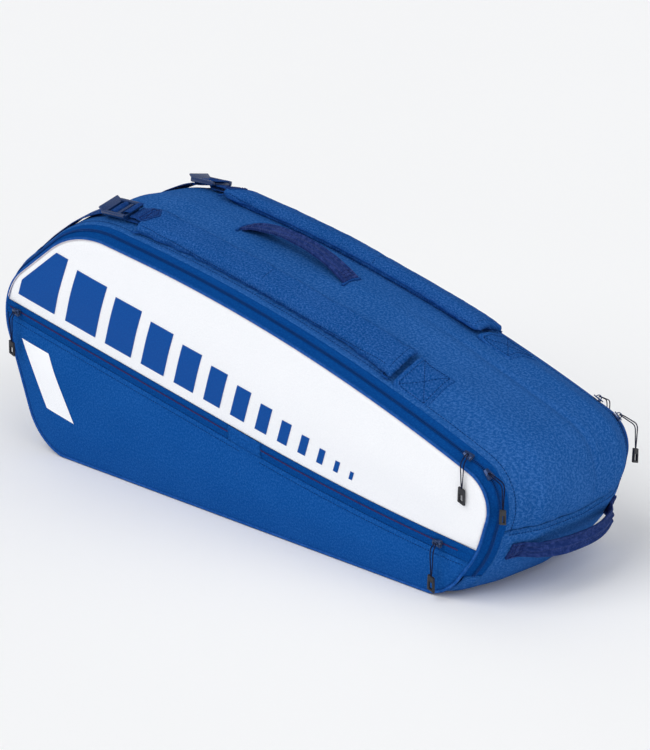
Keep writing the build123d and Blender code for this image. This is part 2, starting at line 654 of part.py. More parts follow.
# ================================================================ carry handle and end handle
carry_ends = [Vector(x, skin_height(x, 0, CARRY_GAP)) for x in CARRY_X]
carry_line = (carry_ends[1] - carry_ends[0]).normalized()
carry_up = Vector(-carry_line.Y, carry_line.X)
carry_middle = (carry_ends[0] + carry_ends[1]) / 2 + carry_up * CARRY_RISE
carry_split = (CARRY_X[0] + CARRY_ROOT, CARRY_X[1] - CARRY_ROOT)
carry_free = x_window(carry_split[0] + PART_GAP, carry_split[1] - PART_GAP)
with BuildPart() as carry_ribbon:
    with BuildSketch(Plane.XZ):
        with BuildLine():
            under = ThreePointArc(carry_ends[0], carry_middle - carry_up * CARRY_WALL, carry_ends[1])
            over = ThreePointArc(
                carry_ends[0] + carry_up * CARRY_WALL, carry_middle, carry_ends[1] + carry_up * CARRY_WALL
            )
            Line(under @ 0, over @ 0)
            Line(under @ 1, over @ 1)
        make_face()
    extrude(amount=CARRY_WIDTH / 2, both=True)
save(clipped(carry_ribbon.part, carry_free), "carry_handle")
with BuildPart() as carry_handle_ends:
    add(carry_ribbon.part)
    add(x_window(*carry_split), mode=Mode.SUBTRACT)
save(carry_handle_ends.part, "carry_handle_ends")

inner_x, middle_x = HANDLE_X - END_HANDLE_WALL, HANDLE_X + END_HANDLE_BOW
with BuildPart() as end_ribbon:
    with BuildSketch(Plane.XY.offset(END_HANDLE_Z - END_HANDLE_HEIGHT / 2)):
        with BuildLine():
            outer = ThreePointArc((HANDLE_X, -END_HANDLE_Y), (middle_x, 0), (HANDLE_X, END_HANDLE_Y))
            inner_middle = (middle_x - END_HANDLE_WALL, 0)
            inner = ThreePointArc((inner_x, -END_HANDLE_Y), inner_middle, (inner_x, END_HANDLE_Y))
            Line(outer @ 0, inner @ 0)
            Line(outer @ 1, inner @ 1)
        make_face()
    extrude(amount=END_HANDLE_HEIGHT)
with BuildPart() as end_handle:
    add(end_ribbon.part)
    with Locations((HANDLE_X, 0, END_HANDLE_Z)):
        Box(FAR, 2 * END_HANDLE_ROOT_Y, FAR, mode=Mode.INTERSECT)
save(end_handle.part, "end_handle")
with BuildPart() as gusset_block:
    loft([side_face(y, 0) for y in stations(-GUSSET_EDGE_Y, GUSSET_EDGE_Y)], ruled=True)
with BuildPart() as end_handle_ends:
    add(end_ribbon.part)
    with Locations((HANDLE_X, 0, END_HANDLE_Z)):
        Box(FAR, 2 * (END_HANDLE_ROOT_Y + PART_GAP), FAR, mode=Mode.SUBTRACT)
    add(gusset_block.part, mode=Mode.SUBTRACT)
save(end_handle_ends.part, "end_handle_ends")
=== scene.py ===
"""Racket tournament bag: its cloth, zips, straps, handles and hardware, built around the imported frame."""

import logging
import math
from bisect import bisect_left
from dataclasses import dataclass
from enum import Enum
from functools import lru_cache
from typing import Callable, Optional, Sequence

import bmesh
import bpy
from mathutils import Matrix, Vector, noise
from mathutils.bvhtree import BVHTree


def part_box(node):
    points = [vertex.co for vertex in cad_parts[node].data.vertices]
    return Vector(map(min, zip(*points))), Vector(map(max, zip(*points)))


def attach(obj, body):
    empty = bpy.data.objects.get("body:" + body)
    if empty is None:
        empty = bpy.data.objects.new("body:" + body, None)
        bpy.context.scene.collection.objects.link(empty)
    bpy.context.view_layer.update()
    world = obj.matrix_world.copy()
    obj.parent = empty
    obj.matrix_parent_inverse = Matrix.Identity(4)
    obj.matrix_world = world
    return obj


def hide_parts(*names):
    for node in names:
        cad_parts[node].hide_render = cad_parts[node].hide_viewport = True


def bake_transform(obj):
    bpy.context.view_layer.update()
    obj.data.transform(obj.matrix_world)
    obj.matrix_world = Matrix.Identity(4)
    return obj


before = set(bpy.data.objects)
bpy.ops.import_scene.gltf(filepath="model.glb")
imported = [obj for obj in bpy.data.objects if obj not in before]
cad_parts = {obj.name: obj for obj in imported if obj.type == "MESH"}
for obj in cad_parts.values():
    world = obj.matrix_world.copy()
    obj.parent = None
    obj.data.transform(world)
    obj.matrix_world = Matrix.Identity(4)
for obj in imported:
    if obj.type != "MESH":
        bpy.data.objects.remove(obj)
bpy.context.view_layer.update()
MM = 0.001
UV_NAME = "cloth"
Colour = tuple[float, float, float]
log = logging.getLogger("racket_bag")


# ------------------------------------------------------------------ sides and marks
class Side(Enum):
    """The two sides of the bag, with the sign of Y on each."""

    FRONT = -1
    BACK = 1

    @property
    def word(self) -> str:
        """The name used in node and body names."""
        return self.name.lower()


@dataclass(frozen=True)
class Mark:
    """A place on the outline: where one coordinate passes a value, going clockwise from the base."""

    axis: int
    value: float
    rising: bool


HEAD_LOW = Mark(1, 86 * MM, True)
HEAD_SEAM = Mark(0, -318 * MM, True)
END_LOW = Mark(1, 86 * MM, False)
ZIP_HEAD = Mark(1, 30 * MM, True)
ZIP_END = Mark(1, 30 * MM, False)


def smooth(value: float, low: float, high: float) -> float:
    """Eases from 0 at `low` to 1 at `high`."""
    share = min(max((value - low) / (high - low), 0.0), 1.0)
    return share * share * (3 - 2 * share)


def hill(value: float, middle: float, width: float) -> float:
    """A soft ridge of height 1 about `middle`."""
    return math.exp(-((value - middle) / width) ** 2)


def resampled(points: Sequence[Vector], count: int) -> list[Vector]:
    """Spaces `count` + 1 points evenly along a polyline.

    Args:
        points: the polyline.
        count: the number of equal steps.

    Returns:
        The new points, the first and last of which are the polyline's ends.
    """
    lengths = [0.0]
    for before, after in zip(points, points[1:]):
        lengths.append(lengths[-1] + (after - before).length)
    spaced = []
    for step in range(count + 1):
        target = lengths[-1] * step / count
        index = min(max(bisect_left(lengths, target), 1), len(points) - 1)
        gap = lengths[index] - lengths[index - 1]
        share = (target - lengths[index - 1]) / gap if gap else 0.0
        spaced.append(points[index - 1].lerp(points[index], share))
    return spaced


def normals_of(points: Sequence[Vector]) -> list[Vector]:
    """Outward normals of a polyline in X and Z that runs clockwise."""
    result = []
    last = len(points) - 1
    for index in range(len(points)):
        along = (points[min(index + 1, last)] - points[max(index - 1, 0)]).normalized()
        result.append(Vector((-along.y, along.x)))
    return result


@dataclass(frozen=True)
class SideOutline:
    """The bag's outline in X and Z, and how it grows from the side panels to the mid-plane."""

    corners: tuple = (
        (-309.0, 0.0), (-374.0, 185.0), (-237.0, 286.0), (109.0, 238.0),
        (374.0, 136.0), (352.5, 61.0), (309.5, 0.0),
    )
    radii: tuple = (72.0, 72.0, 130.0, None, 39.0, 115.0, 64.0)
    crown: tuple = (24.0, 22.0, 28.0, 32.0, 36.0, 26.0)
    crown_radii: tuple = (72.0, 84.0, 142.0, None, 62.0, 100.0, 60.0)
    crown_top_share: float = 0.9
    zip_rise: float = 12.0
    shoulder: float = 60.0
    shoulder_share: float = 0.82
    edge: float = 100.0
    half_width: float = 116.0
    tangent_spare: float = 6.0
    arc_step: float = 3.0

    def half_turn(self, corners: Sequence[Vector], index: int) -> float:
        """Half of the angle that the outline turns through at a corner."""
        before = corners[index] - corners[index - 1]
        after = corners[(index + 1) % len(corners)] - corners[index]
        return before.angle(after) / 2

    def top_radius(self) -> float:
        """Radius of the long top arc, as large as its two edges allow."""
        corners = [Vector(corner) for corner in self.corners]
        reach = []
        for neighbour in (2, 4):
            length = (corners[neighbour] - corners[3]).length
            reach.append(length - self.radii[neighbour] * math.tan(self.half_turn(corners, neighbour)))
        return (min(reach) - self.tangent_spare) / math.tan(self.half_turn(corners, 3))

    def grown(self, radii: Sequence[float], out: float) -> list[float]:
        """Corner radii of the outline moved outwards, whose base stays on the floor."""
        last = len(radii) - 1
        return [r + (min(out, 0.0) if i in (0, last) else out) for i, r in enumerate(radii)]

    def skin(self, depth: float) -> tuple[list[float], list[float]]:
        """Edge moves and corner radii of the outer skin at a depth from the mid-plane."""
        top = self.top_radius()
        radii = [radius or top for radius in self.radii]
        crown_radii = [radius or top * self.crown_top_share for radius in self.crown_radii]
        edge = ([self.zip_rise] * 6, self.grown(radii, self.zip_rise))
        near = [move * self.shoulder_share for move in self.crown]
        shoulder = (near, [a + (b - a) * self.shoulder_share for a, b in zip(edge[1], crown_radii)])
        rows = [
            (0.0, (list(self.crown), crown_radii)), (self.shoulder, shoulder),
            (self.edge, edge), (self.half_width, ([0.0] * 6, radii)),
        ]
        depth = min(abs(depth), self.half_width)
        for (low, first), (high, second) in zip(rows, rows[1:]):
            if depth <= high:
                share = (depth - low) / (high - low)
                return tuple([a + (b - a) * share for a, b in zip(x, y)] for x, y in zip(first, second))

    @lru_cache(maxsize=None)
    def loop(self, depth: float, out: float) -> list[Vector]:
        """The whole outline at a depth, in mm, clockwise from the middle of the base."""
        moves, radii = self.skin(depth)
        moves = [move + out for move in moves] + [min(out, 0.0)]
        radii = self.grown(radii, out)
        plain = [Vector(corner) for corner in self.corners]
        lines = []
        for index, move in enumerate(moves):
            along = (plain[(index + 1) % 7] - plain[index]).normalized()
            lines.append((plain[index] + Vector((-along.y, along.x)) * move, along))
        corners = []
        for index in range(7):
            (start, first), (other, second) = lines[index - 1], lines[index]
            gap = other - start
            corners.append(start + first * (gap.cross(second) / first.cross(second)))
        points = []
        for index in range(7):
            half = self.half_turn(corners, index)
            before = (corners[index] - corners[index - 1]).normalized()
            reach = radii[index] * math.tan(half)
            start = corners[index] - before * reach
            centre = start + Vector((before.y, -before.x)) * radii[index]
            steps = max(4, int(radii[index] * half * 2 / self.arc_step))
            arm = start - centre
            for step in range(steps + 1):
                points.append(centre + Matrix.Rotation(-2 * half * step / steps, 2) @ arm)
        middle = (points[-1] + points[0]) / 2
        return [middle] + points + [middle]

    def stretch(self, depth: float, out: float, start: Mark, stop: Mark, count: int) -> list[Vector]:
        """Evenly spaced points along the outline between two marks.

        Args:
            depth: distance from the mid-plane, in metres.
            out: how far outside the skin, in metres.
            start: the first mark, going clockwise.
            stop: the last mark.
            count: the number of steps.

        Returns:
            Points in X and Z, in metres.
        """
        loop = [point * MM for point in self.loop(round(abs(depth) / MM, 3), round(out / MM, 3))]
        loop = loop + loop[1:]
        kept = []
        wanted = start
        for before, after in zip(loop, loop[1:]):
            low, high = before[wanted.axis], after[wanted.axis]
            passes = low <= wanted.value < high if wanted.rising else low > wanted.value >= high
            if kept:
                kept.append(before)
            if passes:
                kept.append(before.lerp(after, (wanted.value - low) / (high - low)))
                if wanted is stop:
                    break
                wanted = stop
        return resampled(kept, count)

    def height(self, x: float, depth: float, out: float = 0.0) -> float:
        """Height of the upper skin at X, in metres."""
        loop = self.loop(round(abs(depth) / MM, 3), round(out / MM, 3))
        for before, after in zip(loop, loop[1:]):
            if before.x <= x / MM < after.x:
                return before.lerp(after, (x / MM - before.x) / (after.x - before.x)).y * MM
        return 0.0

    def inside(self, x: float, z: float) -> float:
        """Distance of a point inside the side panel's outline, in metres; negative outside it."""
        point = Vector((x, z)) / MM
        loop = self.loop(self.half_width, 0.0)
        least = 1e9
        for before, after in zip(loop, loop[1:]):
            along = after - before
            if along.length > 1e-6:
                along.normalize()
                least = min(least, (after - point).dot(Vector((-along.y, along.x))))
        return least * MM


OUTLINE = SideOutline()


@dataclass(frozen=True)
class PocketSeam:
    """The slanting line where the upper side panel ends and the pocket's zip begins."""

    left: tuple = (-425.0, 189.0)
    knee: tuple = (170.0, 81.0)
    right: tuple = (425.0, 59.0)
    radius: float = 3000.0

    @lru_cache(maxsize=None)
    def height(self, x: float) -> float:
        """Height of the seam at X, in metres."""
        left, knee, right = Vector(self.left), Vector(self.knee), Vector(self.right)
        before, after = (knee - left).normalized(), (right - knee).normalized()
        reach = self.radius * math.tan(before.angle(after) / 2)
        start, finish = knee - before * reach, knee + after * reach
        place = x / MM
        if place <= start.x:
            return (left.y + (place - left.x) * before.y / before.x) * MM
        if place >= finish.x:
            return (knee.y + (place - knee.x) * after.y / after.x) * MM
        centre = start + Vector((-before.y, before.x)) * self.radius
        return (centre.y - math.sqrt(self.radius ** 2 - (place - centre.x) ** 2)) * MM


SEAM = PocketSeam()


# ------------------------------------------------------------------ finishes
class NodeBench:
    """Places and links shader nodes in one tree."""

    def __init__(self, tree: bpy.types.NodeTree) -> None:
        """Keeps the tree that the nodes go in."""
        self.tree = tree

    def add(self, kind: str, settings: Optional[dict] = None, **inputs: object) -> bpy.types.Node:
        """Adds a node.

        Args:
            kind: the node's type, without its ShaderNode prefix.
            settings: attributes of the node.
            **inputs: values or sockets, by input name with spaces as underscores, or i0, i1 by place.

        Returns:
            The new node.
        """
        node = self.tree.nodes.new("ShaderNode" + kind)
        for name, value in (settings or {}).items():
            setattr(node, name, value)
        for name, value in inputs.items():
            place = name[1:]
            socket = node.inputs[int(place)] if name[0] == "i" and place.isdigit() \
                else node.inputs[name.replace("_", " ")]
            if isinstance(value, bpy.types.NodeSocket):
                self.tree.links.new(value, socket)
            else:
                socket.default_value = value
        return node

    def maths(self, operation: str, *values: object) -> bpy.types.NodeSocket:
        """Adds a Math node over the given values or sockets and returns its output."""
        inputs = {f"i{index}": value for index, value in enumerate(values)}
        return self.add("Math", {"operation": operation}, **inputs).outputs[0]

    def blend(self, share: object, first: object, second: object) -> bpy.types.NodeSocket:
        """Mixes two colours and returns the result."""
        node = self.add("Mix", {"data_type": "RGBA"}, i0=share, i6=first, i7=second)
        return node.outputs[2]


def opaque(colour: Colour) -> tuple[float, float, float, float]:
    """A colour with full alpha."""
    return (*colour, 1.0)


def new_group(name: str, inputs: Sequence[tuple[str, str]], outputs: Sequence[tuple[str, str]]):
    """Makes an empty shader node group.

    Args:
        name: the group's name.
        inputs: pairs of socket name and socket type.
        outputs: pairs of socket name and socket type.

    Returns:
        The tree, its bench, its input node and its output node.
    """
    tree = bpy.data.node_groups.new(name, "ShaderNodeTree")
    for in_out, sockets in (("INPUT", inputs), ("OUTPUT", outputs)):
        for label, kind in sockets:
            tree.interface.new_socket(label, in_out=in_out, socket_type="NodeSocket" + kind)
    return tree, NodeBench(tree), tree.nodes.new("NodeGroupInput"), tree.nodes.new("NodeGroupOutput")


@lru_cache(maxsize=None)
def weave_group() -> bpy.types.NodeTree:
    """A plain weave of warp and weft with flecks of a second yarn, and painted shade in the gaps between threads."""
    tree, bench, given, result = new_group(
        "woven_cloth",
        [("Vector", "Vector"), ("Threads", "Float"), ("Tint", "Color"), ("Fleck", "Color"),
         ("Flecks", "Float"), ("Roughness", "Float")],
        [("Color", "Color"), ("Height", "Float"), ("Roughness", "Float")],
    )
    scaled = bench.add("VectorMath", {"operation": "SCALE"}, i0=given.outputs[0])
    tree.links.new(given.outputs[1], scaled.inputs["Scale"])
    parts = bench.add("SeparateXYZ", i0=scaled.outputs[0])
    across, along = parts.outputs[0], parts.outputs[1]
    cells = bench.maths("ADD", bench.maths("FLOOR", across), bench.maths("FLOOR", along))
    over = bench.maths("MODULO", bench.maths("ABSOLUTE", cells), 2.0)
    warp = bench.maths("ABSOLUTE", bench.maths("SINE", bench.maths("MULTIPLY", across, math.pi)))
    weft = bench.maths("ABSOLUTE", bench.maths("SINE", bench.maths("MULTIPLY", along, math.pi)))
    crossing = bench.add("Mix", {"data_type": "FLOAT"}, i0=over, i2=warp, i3=weft).outputs[0]
    slubs = bench.add("TexNoise", Vector=scaled.outputs[0], Scale=0.32, Detail=3.0, Roughness=0.8)
    drift = bench.add("TexNoise", Vector=given.outputs[0], Scale=16.0, Detail=2.0, Roughness=0.5)
    fleck = bench.add("MapRange", i0=slubs.outputs[0], i1=0.44, i2=0.64)
    share = bench.maths("MULTIPLY", fleck.outputs[0], given.outputs[4])
    share = bench.maths("ADD", share, bench.maths("MULTIPLY", bench.maths("SUBTRACT", drift.outputs[0], 0.5), 0.35))
    clean = bench.add("Clamp", i0=share)
    tinted = bench.blend(clean.outputs[0], given.outputs[2], given.outputs[3])
    # painted shade: the colour is scaled down where each thread's profile, also used for the bump, is low, and up along
    # its crown
    shade = bench.maths("MULTIPLY_ADD", crossing, 0.22, 0.86)
    shaded = bench.add("VectorMath", {"operation": "SCALE"}, i0=tinted)
    tree.links.new(shade, shaded.inputs["Scale"])
    tree.links.new(shaded.outputs[0], result.inputs[0])
    height = bench.maths("ADD", crossing, bench.maths("MULTIPLY", slubs.outputs[0], 0.6))
    tree.links.new(height, result.inputs[1])
    rough = bench.maths("MULTIPLY_ADD", bench.maths("SUBTRACT", slubs.outputs[0], 0.5), 0.25, given.outputs[5])
    tree.links.new(rough, result.inputs[2])
    return tree


@lru_cache(maxsize=None)
def moulded_group() -> bpy.types.NodeTree:
    """A moulded or painted surface: fine grain in its relief, and scuffs."""
    tree, bench, given, result = new_group(
        "moulded_surface",
        [("Vector", "Vector"), ("Grain", "Float"), ("Tint", "Color"), ("Scuff", "Color"), ("Roughness", "Float")],
        [("Color", "Color"), ("Height", "Float"), ("Roughness", "Float")],
    )
    grain = bench.add("TexNoise", Vector=given.outputs[0], Detail=3.0)
    tree.links.new(given.outputs[1], grain.inputs["Scale"])
    scuffs = bench.add("TexNoise", Vector=given.outputs[0], Scale=420.0, Detail=4.0, Roughness=0.7)
    worn = bench.add("MapRange", i0=scuffs.outputs[0], i1=0.56, i2=0.74)
    share = bench.maths("MULTIPLY", worn.outputs[0], 0.55)
    tree.links.new(bench.blend(share, given.outputs[2], given.outputs[3]), result.inputs[0])
    tree.links.new(grain.outputs[0], result.inputs[1])
    rough = bench.maths("MULTIPLY_ADD", worn.outputs[0], 0.2, given.outputs[4])
    tree.links.new(rough, result.inputs[2])
    return tree


class Mapping(Enum):
    """Where a finish reads its pattern from."""

    SURFACE = "UV"
    SOLID = "Object"


@dataclass(frozen=True)
class Finish:
    """One finish: what it is called, and how its surface takes colour and light."""

    name: str
    tint: Colour
    second: Colour
    roughness: float = 0.7
    relief: float = 0.00012
    mapping: Mapping = Mapping.SURFACE

    def pattern(self, bench: NodeBench, vector: bpy.types.NodeSocket) -> bpy.types.Node:
        """Places the node group that makes the finish's pattern."""
        raise NotImplementedError

    def polish(self, shader: bpy.types.Node) -> None:
        """Sets the shader's plain values."""

    def material(self) -> bpy.types.Material:
        """The finish's material, made once."""
        title = f"{self.name}_surface"
        made = bpy.data.materials.get(title)
        if made:
            return made
        made = bpy.data.materials.new(title)
        made.use_nodes = True
        tree = made.node_tree
        bench = NodeBench(tree)
        shader = tree.nodes["Principled BSDF"]
        if self.mapping is Mapping.SURFACE:
            vector = bench.add("UVMap", {"uv_map": UV_NAME}).outputs[0]
        else:
            vector = bench.add("TexCoord").outputs["Object"]
        look = self.pattern(bench, vector)
        bump = bench.add("Bump", Height=look.outputs["Height"], Distance=self.relief, Strength=0.8)
        tree.links.new(look.outputs["Color"], shader.inputs["Base Color"])
        tree.links.new(look.outputs["Roughness"], shader.inputs["Roughness"])
        tree.links.new(bump.outputs[0], shader.inputs["Normal"])
        self.polish(shader)
        return made


@dataclass(frozen=True)
class Cloth(Finish):
    """A woven cloth."""

    threads: float = 1300.0
    flecks: float = 0.8
    sheen: float = 0.0
    gloss: float = 0.008
    coat: float = 0.0

    def pattern(self, bench: NodeBench, vector: bpy.types.NodeSocket) -> bpy.types.Node:
        """Places the weave with this cloth's own values."""
        node = bench.add("Group", {"node_tree": weave_group()}, Vector=vector, Threads=self.threads,
                         Tint=opaque(self.tint), Fleck=opaque(self.second), Flecks=self.flecks,
                         Roughness=self.roughness)
        return node

    def polish(self, shader: bpy.types.Node) -> None:
        """Gives the cloth its sheen, and its coating if it has one."""
        shader.inputs["Sheen Weight"].default_value = self.sheen
        shader.inputs["Sheen Roughness"].default_value = 0.45
        shader.inputs["Sheen Tint"].default_value = opaque((0.55, 0.7, 1.0))
        shader.inputs["Specular IOR Level"].default_value = self.gloss
        shader.inputs["Coat Weight"].default_value = self.coat
        shader.inputs["Coat Roughness"].default_value = 0.35


@dataclass(frozen=True)
class Moulding(Finish):
    """A moulded plastic or a painted metal."""

    grain: float = 1500.0
    metallic: float = 0.0
    gloss: float = 0.4
    coat: float = 0.0

    def pattern(self, bench: NodeBench, vector: bpy.types.NodeSocket) -> bpy.types.Node:
        """Places the moulded surface with this finish's own values."""
        return bench.add("Group", {"node_tree": moulded_group()}, Vector=vector, Grain=self.grain,
                         Tint=opaque(self.tint), Scuff=opaque(self.second), Roughness=self.roughness)

    def polish(self, shader: bpy.types.Node) -> None:
        """Sets how metallic and how glossy the finish is."""
        shader.inputs["Metallic"].default_value = self.metallic
        shader.inputs["Specular IOR Level"].default_value = self.gloss
        shader.inputs["Coat Weight"].default_value = self.coat
        shader.inputs["Coat Roughness"].default_value = 0.15


MELANGE = Cloth("melange_cloth", (0.009, 0.078, 0.290), (0.052, 0.172, 0.490), 0.8, 0.00016, threads=1150)
POCKET_CLOTH = Cloth("pocket_cloth", (0.004, 0.066, 0.280), (0.018, 0.120, 0.410), 0.74, 0.00012, threads=1400)
WHITE_CLOTH = Cloth("white_coated_cloth", (0.86, 0.87, 0.90), (0.92, 0.93, 0.95), 0.42, 0.00003,
                    threads=1600, sheen=0.05, coat=0.15)
PRINT = Cloth("blue_print", (0.001, 0.060, 0.290), (0.004, 0.085, 0.350), 0.5, 0.00003, threads=1600,
              sheen=0.1, coat=0.1)
WHITE_PRINT = Cloth("white_print", (0.88, 0.89, 0.92), (0.93, 0.94, 0.96), 0.45, 0.00003, threads=1600, sheen=0.05)
PIPING_CLOTH = Cloth("piping_cloth", (0.008, 0.070, 0.290), (0.03, 0.12, 0.40), 0.55, 0.00005,
                     mapping=Mapping.SOLID, threads=900)
TRIM = Cloth("reflective_trim", (0.62, 0.58, 0.62), (0.8, 0.74, 0.76), 0.35, 0.00003,
             mapping=Mapping.SOLID, threads=900, coat=0.4)
TAPE = Cloth("zip_tape", (0.002, 0.050, 0.235), (0.006, 0.09, 0.34), 0.7, 0.00015, threads=1700)
COIL = Moulding("zip_coil", (0.006, 0.050, 0.22), (0.06, 0.14, 0.36), 0.45, 0.00002,
                mapping=Mapping.SOLID, gloss=0.06)
PURPLE_COIL = Moulding("pocket_coil", (0.070, 0.025, 0.10), (0.12, 0.06, 0.20), 0.45, 0.00002,
                       mapping=Mapping.SOLID, gloss=0.1)
WEBBING = Cloth("webbing", (0.005, 0.036, 0.170), (0.020, 0.080, 0.29), 0.55, 0.0003, threads=620, sheen=0.04)
HANDLE_WEB = Cloth("handle_webbing", (0.010, 0.028, 0.130), (0.040, 0.070, 0.25), 0.5, 0.0003, threads=620, sheen=0.06)
STRAP_CLOTH = Cloth("strap_cloth", (0.005, 0.062, 0.245), (0.045, 0.150, 0.460), 0.76, 0.00014, threads=1250)
BINDING = Cloth("binding_tape", (0.006, 0.052, 0.225), (0.02, 0.09, 0.32), 0.65, 0.0001,
                mapping=Mapping.SOLID, threads=1200)
THREAD = Cloth("thread", (0.002, 0.018, 0.100), (0.006, 0.04, 0.17), 0.5, 0.00003, mapping=Mapping.SOLID, threads=3000)
NAVY_THREAD = Cloth("navy_thread", (0.006, 0.012, 0.075), (0.02, 0.03, 0.14), 0.5, 0.00003,
                    mapping=Mapping.SOLID, threads=3000)
LINING = Cloth("lining_cloth", (0.035, 0.042, 0.06), (0.06, 0.07, 0.10), 0.8, 0.00008, threads=1500)
SLIDER_PAINT = Moulding("slider_metal", (0.012, 0.038, 0.125), (0.35, 0.38, 0.42), 0.33, 0.00002,
                        mapping=Mapping.SOLID, metallic=0.7, coat=0.3)
CORD_BRAID = Cloth("pull_cord", (0.008, 0.010, 0.030), (0.03, 0.035, 0.07), 0.6, 0.0001,
                   mapping=Mapping.SOLID, threads=1800)
TAB_RUBBER = Moulding("pull_tab", (0.014, 0.015, 0.020), (0.07, 0.055, 0.05), 0.48, 0.00004, mapping=Mapping.SOLID)
BUCKLE_PLASTIC = Moulding("buckle_plastic", (0.006, 0.030, 0.115), (0.02, 0.06, 0.19), 0.25, 0.00002,
                          mapping=Mapping.SOLID, coat=0.35)


# ------------------------------------------------------------------ workshop
@dataclass(frozen=True)
class Piece:
    """A finished object with the body it rides on, its finish and the CAD nodes it stands for."""

    name: str
    mesh: bmesh.types.BMesh
    finish: Finish
    body: str
    replaces: tuple = ()
    wall: float = 0.0
    rounding: int = 0
    smooth: bool = True
    ride: bool = True
    slot: str = ""

    def make(self) -> bpy.types.Object:
        """Turns the mesh into an object with its modifiers and material, and settles it on its body when it rides."""
        data = bpy.data.meshes.new(self.name)
        self.mesh.to_mesh(data)
        self.mesh.free()
        piece = bpy.data.objects.new(self.name, data)
        bpy.context.scene.collection.objects.link(piece)
        data.polygons.foreach_set("use_smooth", [self.smooth] * len(data.polygons))
        if self.wall:
            shell = piece.modifiers.new("wall", "SOLIDIFY")
            shell.thickness, shell.offset = self.wall, -1.0
        if self.rounding:
            finer = piece.modifiers.new("rounding", "SUBSURF")
            finer.levels = finer.render_levels = self.rounding
        data.materials.append(self.finish.material())
        if self.ride:
            settle(piece, self)
        return piece


def settle(piece: bpy.types.Object, facts: Piece) -> None:
    """Puts a finished object on its body and hides the CAD nodes it stands for."""
    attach(piece, facts.body)
    if facts.replaces:
        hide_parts(*facts.replaces)
    log.info("%s: %d faces on %s", facts.name, len(piece.data.polygons), facts.body)


def sheet(columns: int, rows: int, place: Callable[[int, int], Vector], size: tuple[float, float]) -> bmesh.types.BMesh:
    """A grid of faces laid on a surface.

    Args:
        columns: faces along the first way.
        rows: faces along the second way.
        place: gives the position of a grid corner from its column and row.
        size: length and width of the cloth in metres, for its pattern.

    Returns:
        The mesh, with its pattern coordinates in metres.
    """
    mesh = bmesh.new()
    bmesh.ops.create_grid(mesh, x_segments=columns, y_segments=rows, size=0.5)
    pattern = mesh.loops.layers.uv.new(UV_NAME)
    for face in mesh.faces:
        for loop in face.loops:
            flat = loop.vert.co
            loop[pattern].uv = ((flat.x + 0.5) * size[0], (flat.y + 0.5) * size[1])
    for vertex in mesh.verts:
        flat = vertex.co
        vertex.co = place(round((flat.x + 0.5) * columns), round((flat.y + 0.5) * rows))
    return mesh


def turned_outwards(mesh: bmesh.types.BMesh, outward: Callable[[Vector], Vector]) -> bmesh.types.BMesh:
    """Flips a sheet whose faces point inwards."""
    mesh.normal_update()
    score = sum(face.normal.dot(outward(face.calc_center_median())) * face.calc_area() for face in mesh.faces)
    if score < 0:
        bmesh.ops.reverse_faces(mesh, faces=mesh.faces[:])
    return mesh


def trimmed(mesh: bmesh.types.BMesh, inset: float) -> bmesh.types.BMesh:
    """Cuts a side panel's sheet to the bag's outline, a little inside it."""
    loop = OUTLINE.loop(OUTLINE.half_width, 0.0)
    for before, after in zip(loop, loop[1:]):
        along = after - before
        if along.length < 1e-6:
            continue
        along.normalize()
        out = Vector((-along.y, 0.0, along.x))
        edge = Vector((before.x, 0.0, before.y)) * MM - out * inset
        everything = mesh.verts[:] + mesh.edges[:] + mesh.faces[:]
        bmesh.ops.bisect_plane(mesh, geom=everything, dist=1e-6, plane_co=edge, plane_no=out, clear_outer=True)
    return mesh


def tube(points: Sequence[Vector], radius: float, sides: int = 8, closed: bool = False) -> bmesh.types.BMesh:
    """A round cord along a smooth line.

    Args:
        points: the line's points.
        radius: the cord's radius.
        sides: faces around the cord.
        closed: whether the last point joins the first.

    Returns:
        The mesh of the cord, with capped ends when it is open.
    """
    curve = bpy.data.curves.new("route", "CURVE")
    curve.dimensions = "3D"
    curve.bevel_depth = radius
    curve.bevel_resolution = max(0, sides // 4 - 1)
    curve.use_fill_caps = not closed
    line = curve.splines.new("POLY")
    line.points.add(len(points) - 1)
    for point, place in zip(line.points, points):
        point.co = (*place, 1.0)
    line.use_cyclic_u = closed
    carrier = bpy.data.objects.new("route", curve)
    bpy.context.scene.collection.objects.link(carrier)
    data = bpy.data.meshes.new_from_object(carrier.evaluated_get(bpy.context.evaluated_depsgraph_get()))
    mesh = bmesh.new()
    mesh.from_mesh(data)
    bmesh.ops.remove_doubles(mesh, verts=mesh.verts[:], dist=1e-7)
    bmesh.ops.recalc_face_normals(mesh, faces=mesh.faces[:])
    bpy.data.objects.remove(carrier)
    bpy.data.curves.remove(curve)
    bpy.data.meshes.remove(data)
    return mesh


def strewn(unit: bmesh.types.BMesh, places: Sequence[Matrix]) -> bmesh.types.BMesh:
    """Repeats a small shape at many places.

    Args:
        unit: the small shape, which is used up.
        places: where it goes, one matrix for each copy.

    Returns:
        One mesh with every copy.
    """
    data = bpy.data.meshes.new("unit")
    unit.to_mesh(data)
    unit.free()
    mesh = bmesh.new()
    for place in places:
        data.transform(place)
        mesh.from_mesh(data)
        data.transform(place.inverted())
    bpy.data.meshes.remove(data)
    return mesh


def joined(*meshes: bmesh.types.BMesh) -> bmesh.types.BMesh:
    """Brings several meshes together in the first."""
    first = meshes[0]
    for other in meshes[1:]:
        data = bpy.data.meshes.new("part")
        other.to_mesh(data)
        other.free()
        first.from_mesh(data)
        bpy.data.meshes.remove(data)
    return first


def block(size: Sequence[float], corner: float, place: Matrix = Matrix.Identity(4), segments: int = 2) -> bmesh.types.BMesh:
    """A block with rounded edges."""
    mesh = bmesh.new()
    bmesh.ops.create_cube(mesh, size=1.0)
    bmesh.ops.scale(mesh, vec=Vector(size), verts=mesh.verts[:])
    if corner:
        bmesh.ops.bevel(mesh, geom=mesh.edges[:], offset=corner, segments=segments, profile=0.5,
                        affect="EDGES", material=-1)
    bmesh.ops.transform(mesh, matrix=place, verts=mesh.verts[:])
    return mesh


